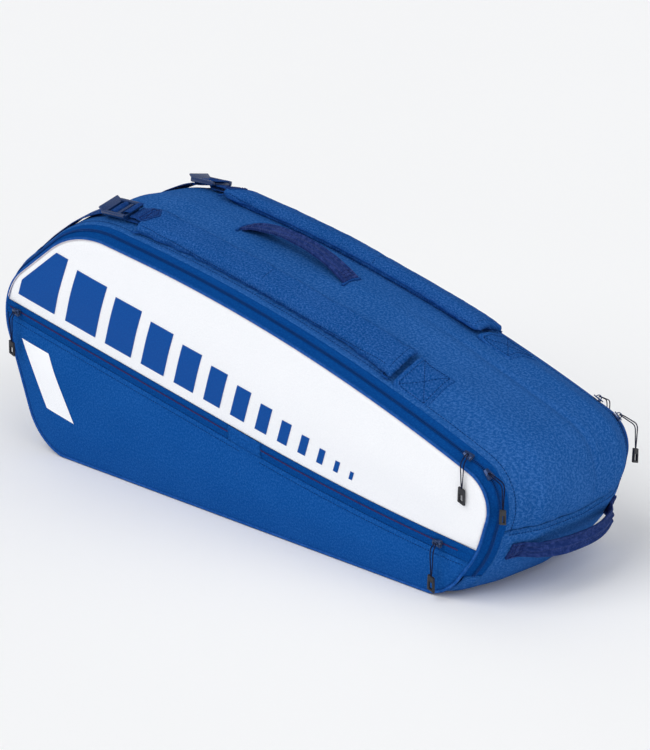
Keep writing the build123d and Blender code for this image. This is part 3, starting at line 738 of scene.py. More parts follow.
def frame_at(place: Vector, along: Vector, up: Vector) -> Matrix:
    """A matrix whose X runs along a line and whose Z points up from it."""
    along = along.normalized()
    side = up.cross(along).normalized()
    up = along.cross(side)
    matrix = Matrix((along, side, up)).transposed().to_4x4()
    matrix.translation = place
    return matrix


def stitches(lines: Sequence[tuple[Sequence[Vector], Sequence[Vector]]], pitch: float = 3.4 * MM,
             radius: float = 0.38 * MM) -> bmesh.types.BMesh:
    """Rows of thread.

    Args:
        lines: pairs of points and surface normals, one pair for each row.
        pitch: length of one stitch with its gap.
        radius: the thread's radius.

    Returns:
        The mesh of every stitch.
    """
    places = []
    for points, normals in lines:
        length = sum((b - a).length for a, b in zip(points, points[1:]))
        count = max(2, round(length / pitch))
        spaced = resampled(points, count)
        for index in range(count):
            start, finish = spaced[index], spaced[index + 1]
            normal = normals[min(index * len(normals) // count, len(normals) - 1)]
            places.append(frame_at((start + finish) / 2, finish - start, normal))
    unit = bmesh.new()
    bmesh.ops.create_uvsphere(unit, u_segments=6, v_segments=5, radius=1.0,
                              matrix=Matrix.Rotation(math.pi / 2, 4, "Y"))
    bmesh.ops.scale(unit, vec=Vector((pitch * 0.40, radius, radius)), verts=unit.verts[:])
    return strewn(unit, places)


# ------------------------------------------------------------------ the gusset's surface
CREASE_Y = 17 * MM
PUCKERS = ((-84, 4.5, 1.3), (-66, 5.0, 1.5), (-43, 6.0, 1.2), (-14, 7.0, 1.0), (44, 6.0, 1.3), (66, 5.0, 1.5), (84, 4.5, 1.1))


def relief(depth: float, place: Vector) -> float:
    """How far the sewn cloth stands off the plain skin, in metres.

    Args:
        depth: distance from the mid-plane, with its sign.
        place: the point on the skin, in X and Z.

    Returns:
        The height of lobes, less creases and puckers.
    """
    end = smooth(place.x, 0.20, 0.33)
    crease = 3.3 * hill(depth, CREASE_Y, 4.2 * MM) * smooth(place.x, 0.10, 0.30) * smooth(place.y, 0.088, 0.102)
    lobes = 4.6 * end * smooth(place.y, 0.086, 0.125) * (hill(depth, -42 * MM, 34 * MM) + hill(depth, 62 * MM, 24 * MM))
    slack = 1.3 * noise.noise(Vector((place.x * 9, depth * 16, place.y * 9)))
    slack += 0.5 * noise.noise(Vector((place.x * 26, depth * 34, place.y * 26 + 5)))
    low = smooth(place.x, 0.33, 0.36) * smooth(place.y, 0.040, 0.088) * (1 - smooth(place.y, 0.105, 0.175))
    folds = sum(height * hill(depth, y * MM, width * MM) for y, width, height in PUCKERS) * low
    calm = 1 - smooth(abs(depth), 0.084, 0.1)
    return (lobes - crease + (slack + folds) * calm) * MM


def skin_rows(depths: Sequence[float], start: Mark, stop: Mark, columns: int,
              out: Callable[[float, float], float], bare: bool = False) -> list[list[Vector]]:
    """Rows of points that follow the bag's skin.

    Args:
        depths: one row for each depth from the mid-plane.
        start: where the rows begin on the outline, clockwise.
        stop: where they end.
        columns: steps along each row.
        out: height above the skin, from the depth and the share of the row's length.
        bare: leaves out the sewn cloth's relief.

    Returns:
        The rows.
    """
    rows = []
    for depth in depths:
        points = OUTLINE.stretch(depth, 0.0, start, stop, columns)
        row = []
        for index, (point, normal) in enumerate(zip(points, normals_of(points))):
            move = out(depth, index / columns) + (0.0 if bare else relief(depth, point))
            moved = point + normal * move
            row.append(Vector((moved.x, depth, moved.y)))
        rows.append(row)
    return rows


def skin_sheet(depths: Sequence[float], start: Mark, stop: Mark, columns: int,
               out: Callable[[float, float], float], bare: bool = False) -> bmesh.types.BMesh:
    """A sheet of cloth that follows the bag's skin; the arguments are those of skin_rows."""
    rows = skin_rows(depths, start, stop, columns, out, bare)
    middle = rows[len(rows) // 2]
    length = sum((b - a).length for a, b in zip(middle, middle[1:]))
    return sheet(columns, len(rows) - 1, lambda i, j: rows[j][i], (length, abs(depths[-1] - depths[0])))


def spread(low: float, high: float, step: float, tight: Sequence[float] = ()) -> list[float]:
    """Depths from low to high, evenly spaced, with closer ones beside both edges.

    Args:
        low: first depth.
        high: last depth.
        step: the even spacing.
        tight: distances from each edge of the closer ones.

    Returns:
        The depths in order.
    """
    reach = max(tight, default=0.0)
    count = max(1, round((high - low - 2 * reach) / step))
    inner = [low + reach + (high - low - 2 * reach) * i / count for i in range(count + 1)]
    nearer = sorted(tight)[:-1]
    left = [low] + [low + d for d in nearer] if tight else []
    right = [high - d for d in reversed(nearer)] + [high] if tight else []
    return left + inner + right


def on_top(piece: bpy.types.Object) -> Callable[[float, float], Optional[float]]:
    """Makes a probe that finds the top of a piece at X and Y."""
    tree = BVHTree.FromObject(piece, bpy.context.evaluated_depsgraph_get())

    def probe(x: float, y: float) -> Optional[float]:
        """Height of the piece's top at a place, or None beside it."""
        hit = tree.ray_cast(Vector((x, y, 1.0)), Vector((0, 0, -1)))[0]
        return hit.z if hit else None

    return probe


@dataclass
class Gusset:
    """The three gussets that join the side panels, with their seams."""

    wall: float = 2.0 * MM
    edge: float = 100 * MM
    edge_rows: tuple = (0.9 * MM, 2.6 * MM, 5.5 * MM)
    row_step: float = 4.0 * MM
    base_edge: float = 113.2 * MM
    seam_roll: float = 2.2 * MM

    def hem(self, columns: int) -> Callable[[float, float], float]:
        """Cloth that turns in at its side edges and at its end seams."""
        def out(depth: float, share: float) -> float:
            """Height above the skin at one place."""
            gap = self.edge - abs(depth)
            side = 1.3 * hill(gap, 3.2 * MM, 2.4 * MM) - 3.2 * hill(gap, -0.4 * MM, 1.1 * MM)
            end = -self.seam_roll if share in (0.0, 1.0) else 0.0
            return side * MM + end

        return out

    def build(self) -> None:
        """Builds the cloth of each gusset."""
        depths = spread(-self.edge, self.edge, self.row_step, self.edge_rows)
        stretches = (
            ("top_gusset", HEAD_SEAM, END_LOW, 132),
            ("head_end_gusset", HEAD_LOW, HEAD_SEAM, 26),
        )
        for name, start, stop, columns in stretches:
            mesh = skin_sheet(depths, start, stop, columns, self.hem(columns))
            Piece(f"{name}_cloth", mesh, MELANGE, "bag_body", (name,), self.wall, 1).make()
        base = skin_sheet(depths, END_LOW, HEAD_LOW, 110, self.base_hem, bare=True)
        strips = []
        for side in Side:
            near, far = sorted((side.value * (self.edge + 0.3 * MM), side.value * self.base_edge))
            strips.append(skin_sheet(spread(near, far, 4 * MM), ZIP_END, ZIP_HEAD, 100, lambda d, s: 0.0, bare=True))
        for mesh in strips:
            for vertex in mesh.verts:
                vertex.co.z = max(vertex.co.z, 0.15 * MM)
        for vertex in base.verts:
            vertex.co.z = max(vertex.co.z, 0.15 * MM)
        Piece("base_gusset_cloth", joined(base, *strips), MELANGE, "bag_body", ("base_gusset",), self.wall).make()

    def base_hem(self, depth: float, share: float) -> float:
        """The base's ends tuck in under the gussets above them."""
        return -self.seam_roll if share in (0.0, 1.0) else 0.0

    def dress(self) -> None:
        """Sews the end seams and the two edges beside the zips."""
        rows = []
        for mark, drop in ((END_LOW, -3.6), (HEAD_LOW, 3.6)):
            low = Mark(1, mark.value - 3.6 * MM, mark.rising)
            line, normals = self.cross_line(low, self.edge - 6 * MM)
            rows.append((line, normals))
        across = Mark(0, HEAD_SEAM.value + 3.6 * MM, True)
        rows.append(self.cross_line(across, self.edge - 6 * MM))
        for side in Side:
            depth = side.value * (self.edge - 6.5 * MM)
            line = skin_rows([depth], HEAD_LOW, END_LOW, 260, lambda d, s: 0.55 * MM)[0]
            rows.append((line, normals_3d(line)))
        Piece("gusset_stitching", stitches(rows), THREAD, "bag_body").make()

    def cross_line(self, mark: Mark, reach: float) -> tuple[list[Vector], list[Vector]]:
        """A line across the gusset at a mark, with its normals."""
        line, normals = [], []
        for depth in spread(-reach, reach, 5 * MM):
            points = OUTLINE.stretch(depth, 0.0, mark, Mark(mark.axis, mark.value + (4 if mark.rising else -4) * MM,
                                                            mark.rising), 2)
            normal = normals_of(points)[0]
            lift = (relief(depth, points[0]) if mark.value > 0.084 or mark.axis == 0 else 0.0) + 0.4 * MM
            place = points[0] + normal * lift
            line.append(Vector((place.x, depth, place.y)))
            normals.append(Vector((normal.x, 0.0, normal.y)))
        return line, normals


def normals_3d(line: Sequence[Vector]) -> list[Vector]:
    """Outward normals of a line that runs round the bag."""
    flat = normals_of([Vector((point.x, point.z)) for point in line])
    return [Vector((normal.x, 0.0, normal.y)) for normal in flat]


# ------------------------------------------------------------------ side panels
def dish(boundary: Sequence[Vector], spine: tuple[Vector, Vector], rings: Sequence[float],
         depth: Callable[[float, Vector], float]) -> bmesh.types.BMesh:
    """A sheet that fills a closed outline in X and Z with rings that shrink onto a spine.

    Args:
        boundary: the outline's points, the last one the same as the first.
        spine: the two ends of the line that the rings shrink onto.
        rings: shares of the way in, from 0 at the outline to 1 at the spine.
        depth: Y of a point, from its distance inside the outline and its place.

    Returns:
        The mesh.
    """
    start, way = spine[0], spine[1] - spine[0]
    reach = way.length
    way = way / reach
    stations = max(1, round(reach / (11 * MM)))
    feet = []
    for point in boundary:
        share = round(min(max((point - start).dot(way) / reach, 0.0), 1.0) * stations) / stations
        feet.append(start + way * reach * share)
    grid = {}
    for row, share in enumerate(rings):
        for column, (point, foot) in enumerate(zip(boundary, feet)):
            flat = point.lerp(foot, share)
            inset = (point - foot).length * share
            grid[column, row] = Vector((flat.x, depth(inset, flat), flat.y))
    mesh = sheet(len(boundary) - 1, len(rings) - 1, lambda i, j: grid[i, j], (1.0, 1.0))
    pattern = mesh.loops.layers.uv[UV_NAME]
    for face in mesh.faces:
        for loop in face.loops:
            loop[pattern].uv = (loop.vert.co.x, loop.vert.co.z)
    bmesh.ops.remove_doubles(mesh, verts=mesh.verts[:], dist=0.02 * MM)
    return mesh


RINGS = (0.0, 0.018, 0.045, 0.085, 0.14, 0.21, 0.30, 0.40, 0.52, 0.64, 0.76, 0.88, 1.0)


@dataclass
class SidePanel:
    """One side cover: its upper and lower cloth, piping, print and lining."""

    side: Side
    rim: float = 116.9 * MM
    crown: float = 3.4 * MM
    pocket_depth: float = 5.4 * MM
    inset: float = 1.0 * MM
    zip_width: float = 14.2 * MM
    wall: float = 2.4 * MM
    drop: float = 0.0
    boundary_steps: int = 210
    seam_steps: int = 130

    @property
    def body(self) -> str:
        """The CAD body that the cover rides on."""
        return f"{self.side.word}_cover"

    def rim_loop(self, inset: float) -> list[Vector]:
        """The outline of the panel in metres, a little inside the piping line."""
        return [point * MM for point in OUTLINE.loop(116.0, round(-inset / MM, 3))]

    def region(self, drop: float, above: bool, inset: float) -> list[Vector]:
        """The closed outline of the cloth above or below the seam.

        Args:
            drop: how far below the seam the cloth's edge runs.
            above: whether the cloth lies above it.
            inset: distance inside the piping line.

        Returns:
            The outline's points, clockwise seen from the front, the last one repeating the first.
        """
        loop = self.rim_loop(inset)
        kept = [point for point in loop if (point.y > SEAM.height(point.x) - drop) == above]
        if not above:
            split = max(range(len(kept) - 1), key=lambda i: (kept[i + 1] - kept[i]).length)
            kept = kept[split + 1:] + kept[1:split + 1]
        ends = []
        for tip in (kept[0], kept[-1]):
            ends.append(self.crossing(tip, drop, loop))
        shell = resampled([ends[0]] + kept + [ends[1]], self.boundary_steps)
        low, high = ends[1].x, ends[0].x
        line = []
        for step in range(self.seam_steps + 1):
            x = low + (high - low) * step / self.seam_steps
            line.append(Vector((x, SEAM.height(x) - drop)))
        return shell + line[1:]

    def crossing(self, tip: Vector, drop: float, loop: Sequence[Vector]) -> Vector:
        """The point of the rim that lies on the seam, nearest to a kept point."""
        best = None
        for before, after in zip(loop, loop[1:]):
            low = before.y - SEAM.height(before.x) + drop
            high = after.y - SEAM.height(after.x) + drop
            if low * high <= 0 and low != high:
                place = before.lerp(after, low / (low - high))
                if best is None or (place - tip).length < (best - tip).length:
                    best = place
        return best

    def edge_gap(self, flat: Vector, above: bool) -> float:
        """Distance of a place from the edges of its cloth, rounded where two edges are as near."""
        seam = (flat.y - SEAM.height(flat.x)) if above else (SEAM.height(flat.x) - self.drop - flat.y)
        soft = 7 * MM
        gaps = (OUTLINE.inside(flat.x, flat.y) - self.inset, seam)
        return max(0.0, -soft * math.log(sum(math.exp(-max(gap, -0.01) / soft) for gap in gaps)))

    def upper_depth(self, inset: float, flat: Vector) -> float:
        """Y of the upper cloth: rolled at its rim and gently crowned."""
        inset = self.edge_gap(flat, True)
        roll = 1.9 * MM * (1 - math.exp(-inset / (2.2 * MM)))
        crown = self.crown * smooth(inset, 0.0, 62 * MM)
        slack = 0.35 * MM * noise.noise(Vector((flat.x * 14, flat.y * 18, 2.0))) * smooth(inset, 0, 15 * MM)
        return self.side.value * (self.rim + roll + crown + slack)

    def lower_depth(self, inset: float, flat: Vector) -> float:
        """Y of the lower cloth, which stands out as a flat pocket."""
        inset = self.edge_gap(flat, False)
        roll = 3.2 * MM * (1 - math.exp(-inset / (3.6 * MM)))
        crown = self.pocket_depth * smooth(inset, 0.0, 46 * MM)
        slack = 0.75 * MM * noise.noise(Vector((flat.x * 11, flat.y * 15, 7.0))) * smooth(inset, 0, 18 * MM)
        tuck = 1.5 * MM * hill(flat.x + flat.y * 0.42, 0.331, 3.2 * MM) * (1 - smooth(flat.y, 0.050, 0.062))
        return self.side.value * (self.rim + roll + crown + slack - tuck)

    def spine(self, above: bool) -> tuple[Vector, Vector]:
        """The line that the rings of a cloth shrink onto."""
        if above:
            return Vector((-0.275, 0.222)), Vector((0.285, 0.118))
        return Vector((-0.292, 0.085)), Vector((0.295, 0.036))

    def cloth(self, name: str, above: bool, drop: float, finish: Finish, nodes: tuple) -> bpy.types.Object:
        """Builds one of the two cloths."""
        self.drop = drop
        boundary = self.region(drop, above, self.inset)
        depth = self.upper_depth if above else self.lower_depth
        mesh = turned_outwards(dish(boundary, self.spine(above), RINGS, depth), self.outwards)
        return Piece(name, mesh, finish, self.body, nodes, self.wall).make()

    def outwards(self, place: Vector) -> Vector:
        """The way that the panel faces."""
        return Vector((0.0, self.side.value, 0.0))

    def probe(self, piece: bpy.types.Object) -> Callable[[float, float], Optional[float]]:
        """Makes a probe that finds the panel's face at X and Z."""
        tree = BVHTree.FromObject(piece, bpy.context.evaluated_depsgraph_get())

        def face(x: float, z: float) -> Optional[float]:
            """Y of the panel's face, or None beside it."""
            hit = tree.ray_cast(Vector((x, self.side.value, z)), Vector((0, -self.side.value, 0)))[0]
            return hit.y if hit else None

        return face

    def build(self) -> None:
        """Builds the cloths, piping and lining."""
        word = self.side.word
        if self.side is Side.FRONT:
            self.upper = self.cloth("front_panel_cloth", True, 0.0, WHITE_CLOTH, ("front_panel",))
            self.lower = self.cloth("front_pocket_cloth", False, self.zip_width, POCKET_CLOTH,
                                    ("front_pocket_panel",))
            backing = self.region(0.3 * MM, False, 2.5 * MM)
            mesh = dish(backing, self.spine(False), (0.0, 0.3, 1.0), lambda i, f: -116.4 * MM)
            mesh = turned_outwards(mesh, self.outwards)
            Piece("pocket_backing_cloth", mesh, LINING, self.body, ("pocket_backing",), 1.2 * MM).make()
        else:
            self.upper = self.cloth("back_panel_upper_cloth", True, 0.0, WHITE_CLOTH, ("back_panel",))
            self.lower = self.cloth("back_panel_lower_cloth", False, 0.4 * MM, POCKET_CLOTH, ("back_panel",))
            self.seam_cord()
        self.piping(word)
        loop = [point * MM for point in OUTLINE.loop(116.0, -5.0)]
        level = self.side.value * 114.9 * MM
        lining = dish(resampled(loop, 260), (Vector((-0.22, 0.15)), Vector((0.25, 0.085))),
                      (0.0, 0.4, 1.0), lambda i, f: level)
        lining = turned_outwards(lining, self.outwards)
        Piece(f"{word}_cover_lining_cloth", lining, LINING, self.body, (f"{word}_cover_lining",), 0.7 * MM).make()

    def piping(self, word: str) -> None:
        """Builds the corded edge all round the panel, and the bright trim inside its upper run."""
        level = self.side.value * 117.7 * MM
        route = [Vector((p.x, level, p.y)) for p in resampled(self.rim_loop(0.2 * MM), 420)][:-1]
        for point in route:
            point.z = max(point.z, 1.9 * MM)
        cord = tube(route, 1.75 * MM, 12, closed=True)
        Piece(f"{word}_piping_cord", cord, PIPING_CLOTH, self.body, (f"{word}_piping",)).make()
        top = [p for p in self.rim_loop(1.75 * MM) if p.y > SEAM.height(p.x) + 4 * MM]
        level = self.side.value * 118.75 * MM
        route = [Vector((p.x, level, p.y)) for p in resampled(top, 220)]
        Piece(f"{word}_bright_trim", tube(route, 0.55 * MM, 8), TRIM, self.body).make()

    def seam_cord(self) -> None:
        """Sews the two cloths of the back cover together with a corded seam."""
        ends = self.region(0.0, True, self.inset)[self.boundary_steps:]
        route = [Vector((p.x, self.side.value * 119.0 * MM, p.y)) for p in ends]
        Piece("back_panel_seam_cord", tube(route, 1.1 * MM, 8), PIPING_CLOTH, self.body).make()


@dataclass(frozen=True)
class Print:
    """A slanting block printed on a panel, measured along and above the pocket's seam."""

    start: float
    width: float
    low: float
    high: float
    lean: float = 0.36


def printed(panel: SidePanel, onto: bpy.types.Object, blocks: Sequence[Print], margin: float,
            lift: float = 0.42 * MM) -> bmesh.types.BMesh:
    """A thin film of printed blocks that lies on a panel's cloth.

    Args:
        panel: the side panel.
        onto: its cloth.
        blocks: the printed blocks.
        margin: least distance from the piping line.
        lift: the film's height above the cloth.

    Returns:
        The film's mesh.
    """
    face = panel.probe(onto)
    parts = []
    for item in blocks:
        columns = max(4, round(item.width / (3 * MM)))
        rows = max(4, round((item.high - item.low) / (3 * MM)))

        def corner(column: int, row: int, item: Print = item, columns: int = columns, rows: int = rows) -> Vector:
            """A corner of the block's grid, flat in X and Z."""
            rise = item.low + (item.high - item.low) * row / rows
            x = item.start + item.width * column / columns + item.lean * rise
            return Vector((x, 0.0, SEAM.height(x) + rise))

        mesh = sheet(columns, rows, corner, (item.width, item.high - item.low))
        parts.append(trimmed(mesh, margin))
    film = joined(*parts)
    for vertex in film.verts:
        level = face(vertex.co.x, vertex.co.z)
        vertex.co.y = (level if level is not None else panel.side.value * 118 * MM) + panel.side.value * lift
    lost = [v for v in film.verts if face(v.co.x, v.co.z) is None]
    bmesh.ops.delete(film, geom=lost, context="VERTS")
    return turned_outwards(film, panel.outwards)


BARS = tuple(
    Print(start * MM, width * MM, 15 * MM, high * MM)
    for start, width, high in (
        (-342, 62, 92), (-262, 50, 86), (-196, 42, 80), (-138, 36, 74), (-86, 30, 68), (-40, 25, 62),
        (1, 21, 56), (38, 17, 50), (71, 14, 44), (101, 11, 39), (128, 8.5, 34), (152, 6.5, 29), (174, 5, 25),
    )
)


@dataclass
class PanelPrints:
    """The generic graphics on the covers: a fading row of slanting bars, and a plain wedge."""

    front: SidePanel
    back: SidePanel

    def build(self) -> None:
        """Prints the bars and the wedge."""
        for panel in (self.front, self.back):
            film = printed(panel, panel.upper, BARS, 9 * MM)
            Piece(f"{panel.side.word}_panel_print", film, PRINT, panel.body).make()
        film = printed(self.front, self.front.lower, (Print(-352 * MM, 46 * MM, -104 * MM, -36 * MM, -0.62),), 7 * MM)
        Piece("pocket_print", film, WHITE_PRINT, self.front.body).make()


# ------------------------------------------------------------------ zips
@dataclass
class MainZip:
    """The long zip between one side cover and the gusset: two tapes and two rows of teeth."""

    side: Side
    coil_depth: float = 107.1 * MM
    gap: float = 0.25 * MM
    tape_wall: float = 0.9 * MM
    pitch: float = 2.1 * MM
    tooth: tuple = (0.72 * MM, 1.15 * MM, 0.85 * MM)
    rise: float = 16.0 / 20.0
    lean: float = 12.0 / 20.0

    def tape(self, near: float, far: float) -> bmesh.types.BMesh:
        """One tape between two distances from the mid-plane, ribbed beside the teeth."""
        low, high = sorted((self.side.value * near, self.side.value * far))
        middle = self.coil_depth

        def lift(depth: float, share: float) -> float:
            """Height above the skin: a rib beside the teeth and a shallow dip to either side of it."""
            rib = 0.5 * hill(abs(depth) - middle, 0.0, 2.2 * MM)
            stitch = -0.35 * hill(abs(abs(depth) - middle), 4.6 * MM, 0.7 * MM)
            return (rib + stitch - 0.7) * MM

        return skin_sheet(spread(low, high, 1.1 * MM), ZIP_HEAD, ZIP_END, 240, lift, bare=True)

    def teeth(self, shift: float, offset: float) -> bmesh.types.BMesh:
        """One row of teeth.

        Args:
            shift: distance of the row's middle from the closing line, away from the mid-plane.
            offset: share of a pitch by which the row starts late.

        Returns:
            The mesh of the row.
        """
        depth = self.coil_depth + shift
        line = OUTLINE.stretch(depth, 0.0, ZIP_HEAD, ZIP_END, 2000)
        length = sum((b - a).length for a, b in zip(line, line[1:]))
        count = int(length / self.pitch) - 1
        spaced = resampled(line, count)
        normals = normals_of(spaced)
        places = []
        for index in range(count):
            flat = spaced[index].lerp(spaced[index + 1], offset)
            normal = normals[index]
            up = Vector((normal.x * self.rise, self.side.value * self.lean, normal.y * self.rise))
            along = Vector((normal.y, 0.0, -normal.x))
            spot = Vector((flat.x, self.side.value * depth, flat.y)) + up * (0.5 * MM)
            places.append(frame_at(spot, along, up))
        unit = bmesh.new()
        bmesh.ops.create_uvsphere(unit, u_segments=6, v_segments=4, radius=1.0)
        bmesh.ops.scale(unit, vec=Vector(self.tooth), verts=unit.verts[:])
        return strewn(unit, places)

    def build(self) -> None:
        """Builds both tapes and both rows of teeth."""
        word = self.side.word
        parts = (
            ("cover", self.coil_depth + self.gap, 115.7 * MM, 0.75 * MM, 0.0),
            ("bag", 98.6 * MM, self.coil_depth - self.gap, -0.75 * MM, 0.5),
        )
        for part, near, far, shift, offset in parts:
            body = f"{word}_cover" if part == "cover" else "bag_body"
            tape = self.tape(near, far)
            Piece(f"{word}_zip_tape_{part}_cloth", tape, TAPE, body,
                  (f"{word}_zip_tape_{part}",), self.tape_wall).make()
            teeth = self.teeth(shift, offset)
            Piece(f"{word}_zip_teeth_{part}", teeth, COIL, body, (f"{word}_zip_coil_{part}",)).make()


@dataclass
class PocketZip:
    """The front pocket's two zip runs, with the plain patch between them."""

    panel: SidePanel
    width: float = 14.2 * MM
    middle: float = 7.0 * MM
    level: float = -118.9 * MM
    bridge: tuple = (5 * MM, 50 * MM)
    coil_span: tuple = (-352 * MM, 330 * MM)
    pitch: float = 1.9 * MM

    def strip(self, low: float, high: float, grooved: bool) -> bmesh.types.BMesh:
        """A strip of tape under the seam between two places along X."""
        columns = max(6, round((high - low) / (6 * MM)))
        rows = 14

        def place(column: int, row: int) -> Vector:
            """A corner of the strip's grid."""
            x = low + (high - low) * column / columns
            drop = -1.0 * MM + (self.width + 2.4 * MM) * row / rows
            groove = 0.7 * MM * hill(drop, self.middle, 1.0 * MM) if grooved else 0.0
            ridge = 0.55 * MM * (hill(drop, self.middle - 3 * MM, 1.6 * MM) + hill(drop, self.middle + 3 * MM, 1.6 * MM))
            return Vector((x, self.level + groove - ridge, SEAM.height(x) - drop))

        mesh = trimmed(sheet(columns, rows, place, (high - low, self.width)), 1.4 * MM)
        return turned_outwards(mesh, self.panel.outwards)

    def coil(self, low: float, high: float) -> bmesh.types.BMesh:
        """The fine teeth in the groove of one run."""
        places = []
        for index in range(int((high - low) / self.pitch)):
            x = low + index * self.pitch
            spot = Vector((x, self.level - 0.15 * MM, SEAM.height(x) - self.middle))
            along = Vector((1.0, 0.0, (SEAM.height(x + MM) - SEAM.height(x - MM)) / (2 * MM)))
            places.append(frame_at(spot, along, Vector((0, -1, 0))))
        unit = bmesh.new()
        bmesh.ops.create_uvsphere(unit, u_segments=6, v_segments=4, radius=1.0)
        bmesh.ops.scale(unit, vec=Vector((0.6, 1.0, 0.6)) * MM, verts=unit.verts[:])
        return strewn(unit, places)

    def build(self) -> None:
        """Builds the tapes, the coils, the patch and the stitching beside them."""
        rim = max(abs(point.x) for point in self.panel.rim_loop(0.0))
        runs = (
            ("left", -rim, self.bridge[0], self.coil_span[0], self.bridge[0]),
            ("right", self.bridge[1], rim, self.bridge[1], self.coil_span[1]),
        )
        for name, low, high, first, last in runs:
            tape = self.strip(low, high, True)
            Piece(f"pocket_zip_{name}_tape", tape, TAPE, "front_cover", (f"pocket_zip_{name}",), 0.9 * MM).make()
            coil = self.coil(first, last)
            Piece(f"pocket_zip_{name}_teeth", coil, PURPLE_COIL, "front_cover", (f"pocket_zip_{name}",)).make()
        patch = self.strip(self.bridge[0] - 2 * MM, self.bridge[1] + 2 * MM, False)
        bmesh.ops.translate(patch, vec=Vector((0, -0.9 * MM, 0)), verts=patch.verts[:])
        Piece("pocket_zip_bridge_cloth", patch, POCKET_CLOTH, "front_cover", ("pocket_zip_bridge",), 1.2 * MM).make()
        self.sew()

    def sew(self) -> None:
        """Sews the double line on the pocket below the tape, and the line along the panel's edge."""
        rows = []
        for onto, drop, low, high in (
            (self.panel.lower, self.width + 2.0 * MM, -0.352, 0.345), (self.panel.lower, self.width + 7.4 * MM, -0.349, 0.02),
            (self.panel.lower, self.width + 7.4 * MM, 0.05, 0.335), (self.panel.upper, -2.2 * MM, -0.352, 0.345),
        ):
            face = self.panel.probe(onto)
            line = []
            for step in range(180):
                x = low + (high - low) * step / 179
                z = SEAM.height(x) - drop
                level = face(x, z)
                if level is not None:
                    line.append(Vector((x, level - 0.12 * MM, z)))
            rows.append((line, [Vector((0, -1, 0))]))
        Piece("pocket_stitching", stitches(rows[:3]), THREAD, "front_cover").make()
        Piece("panel_edge_stitching", stitches(rows[3:], radius=0.3 * MM), WHITE_PRINT, "front_cover").make()


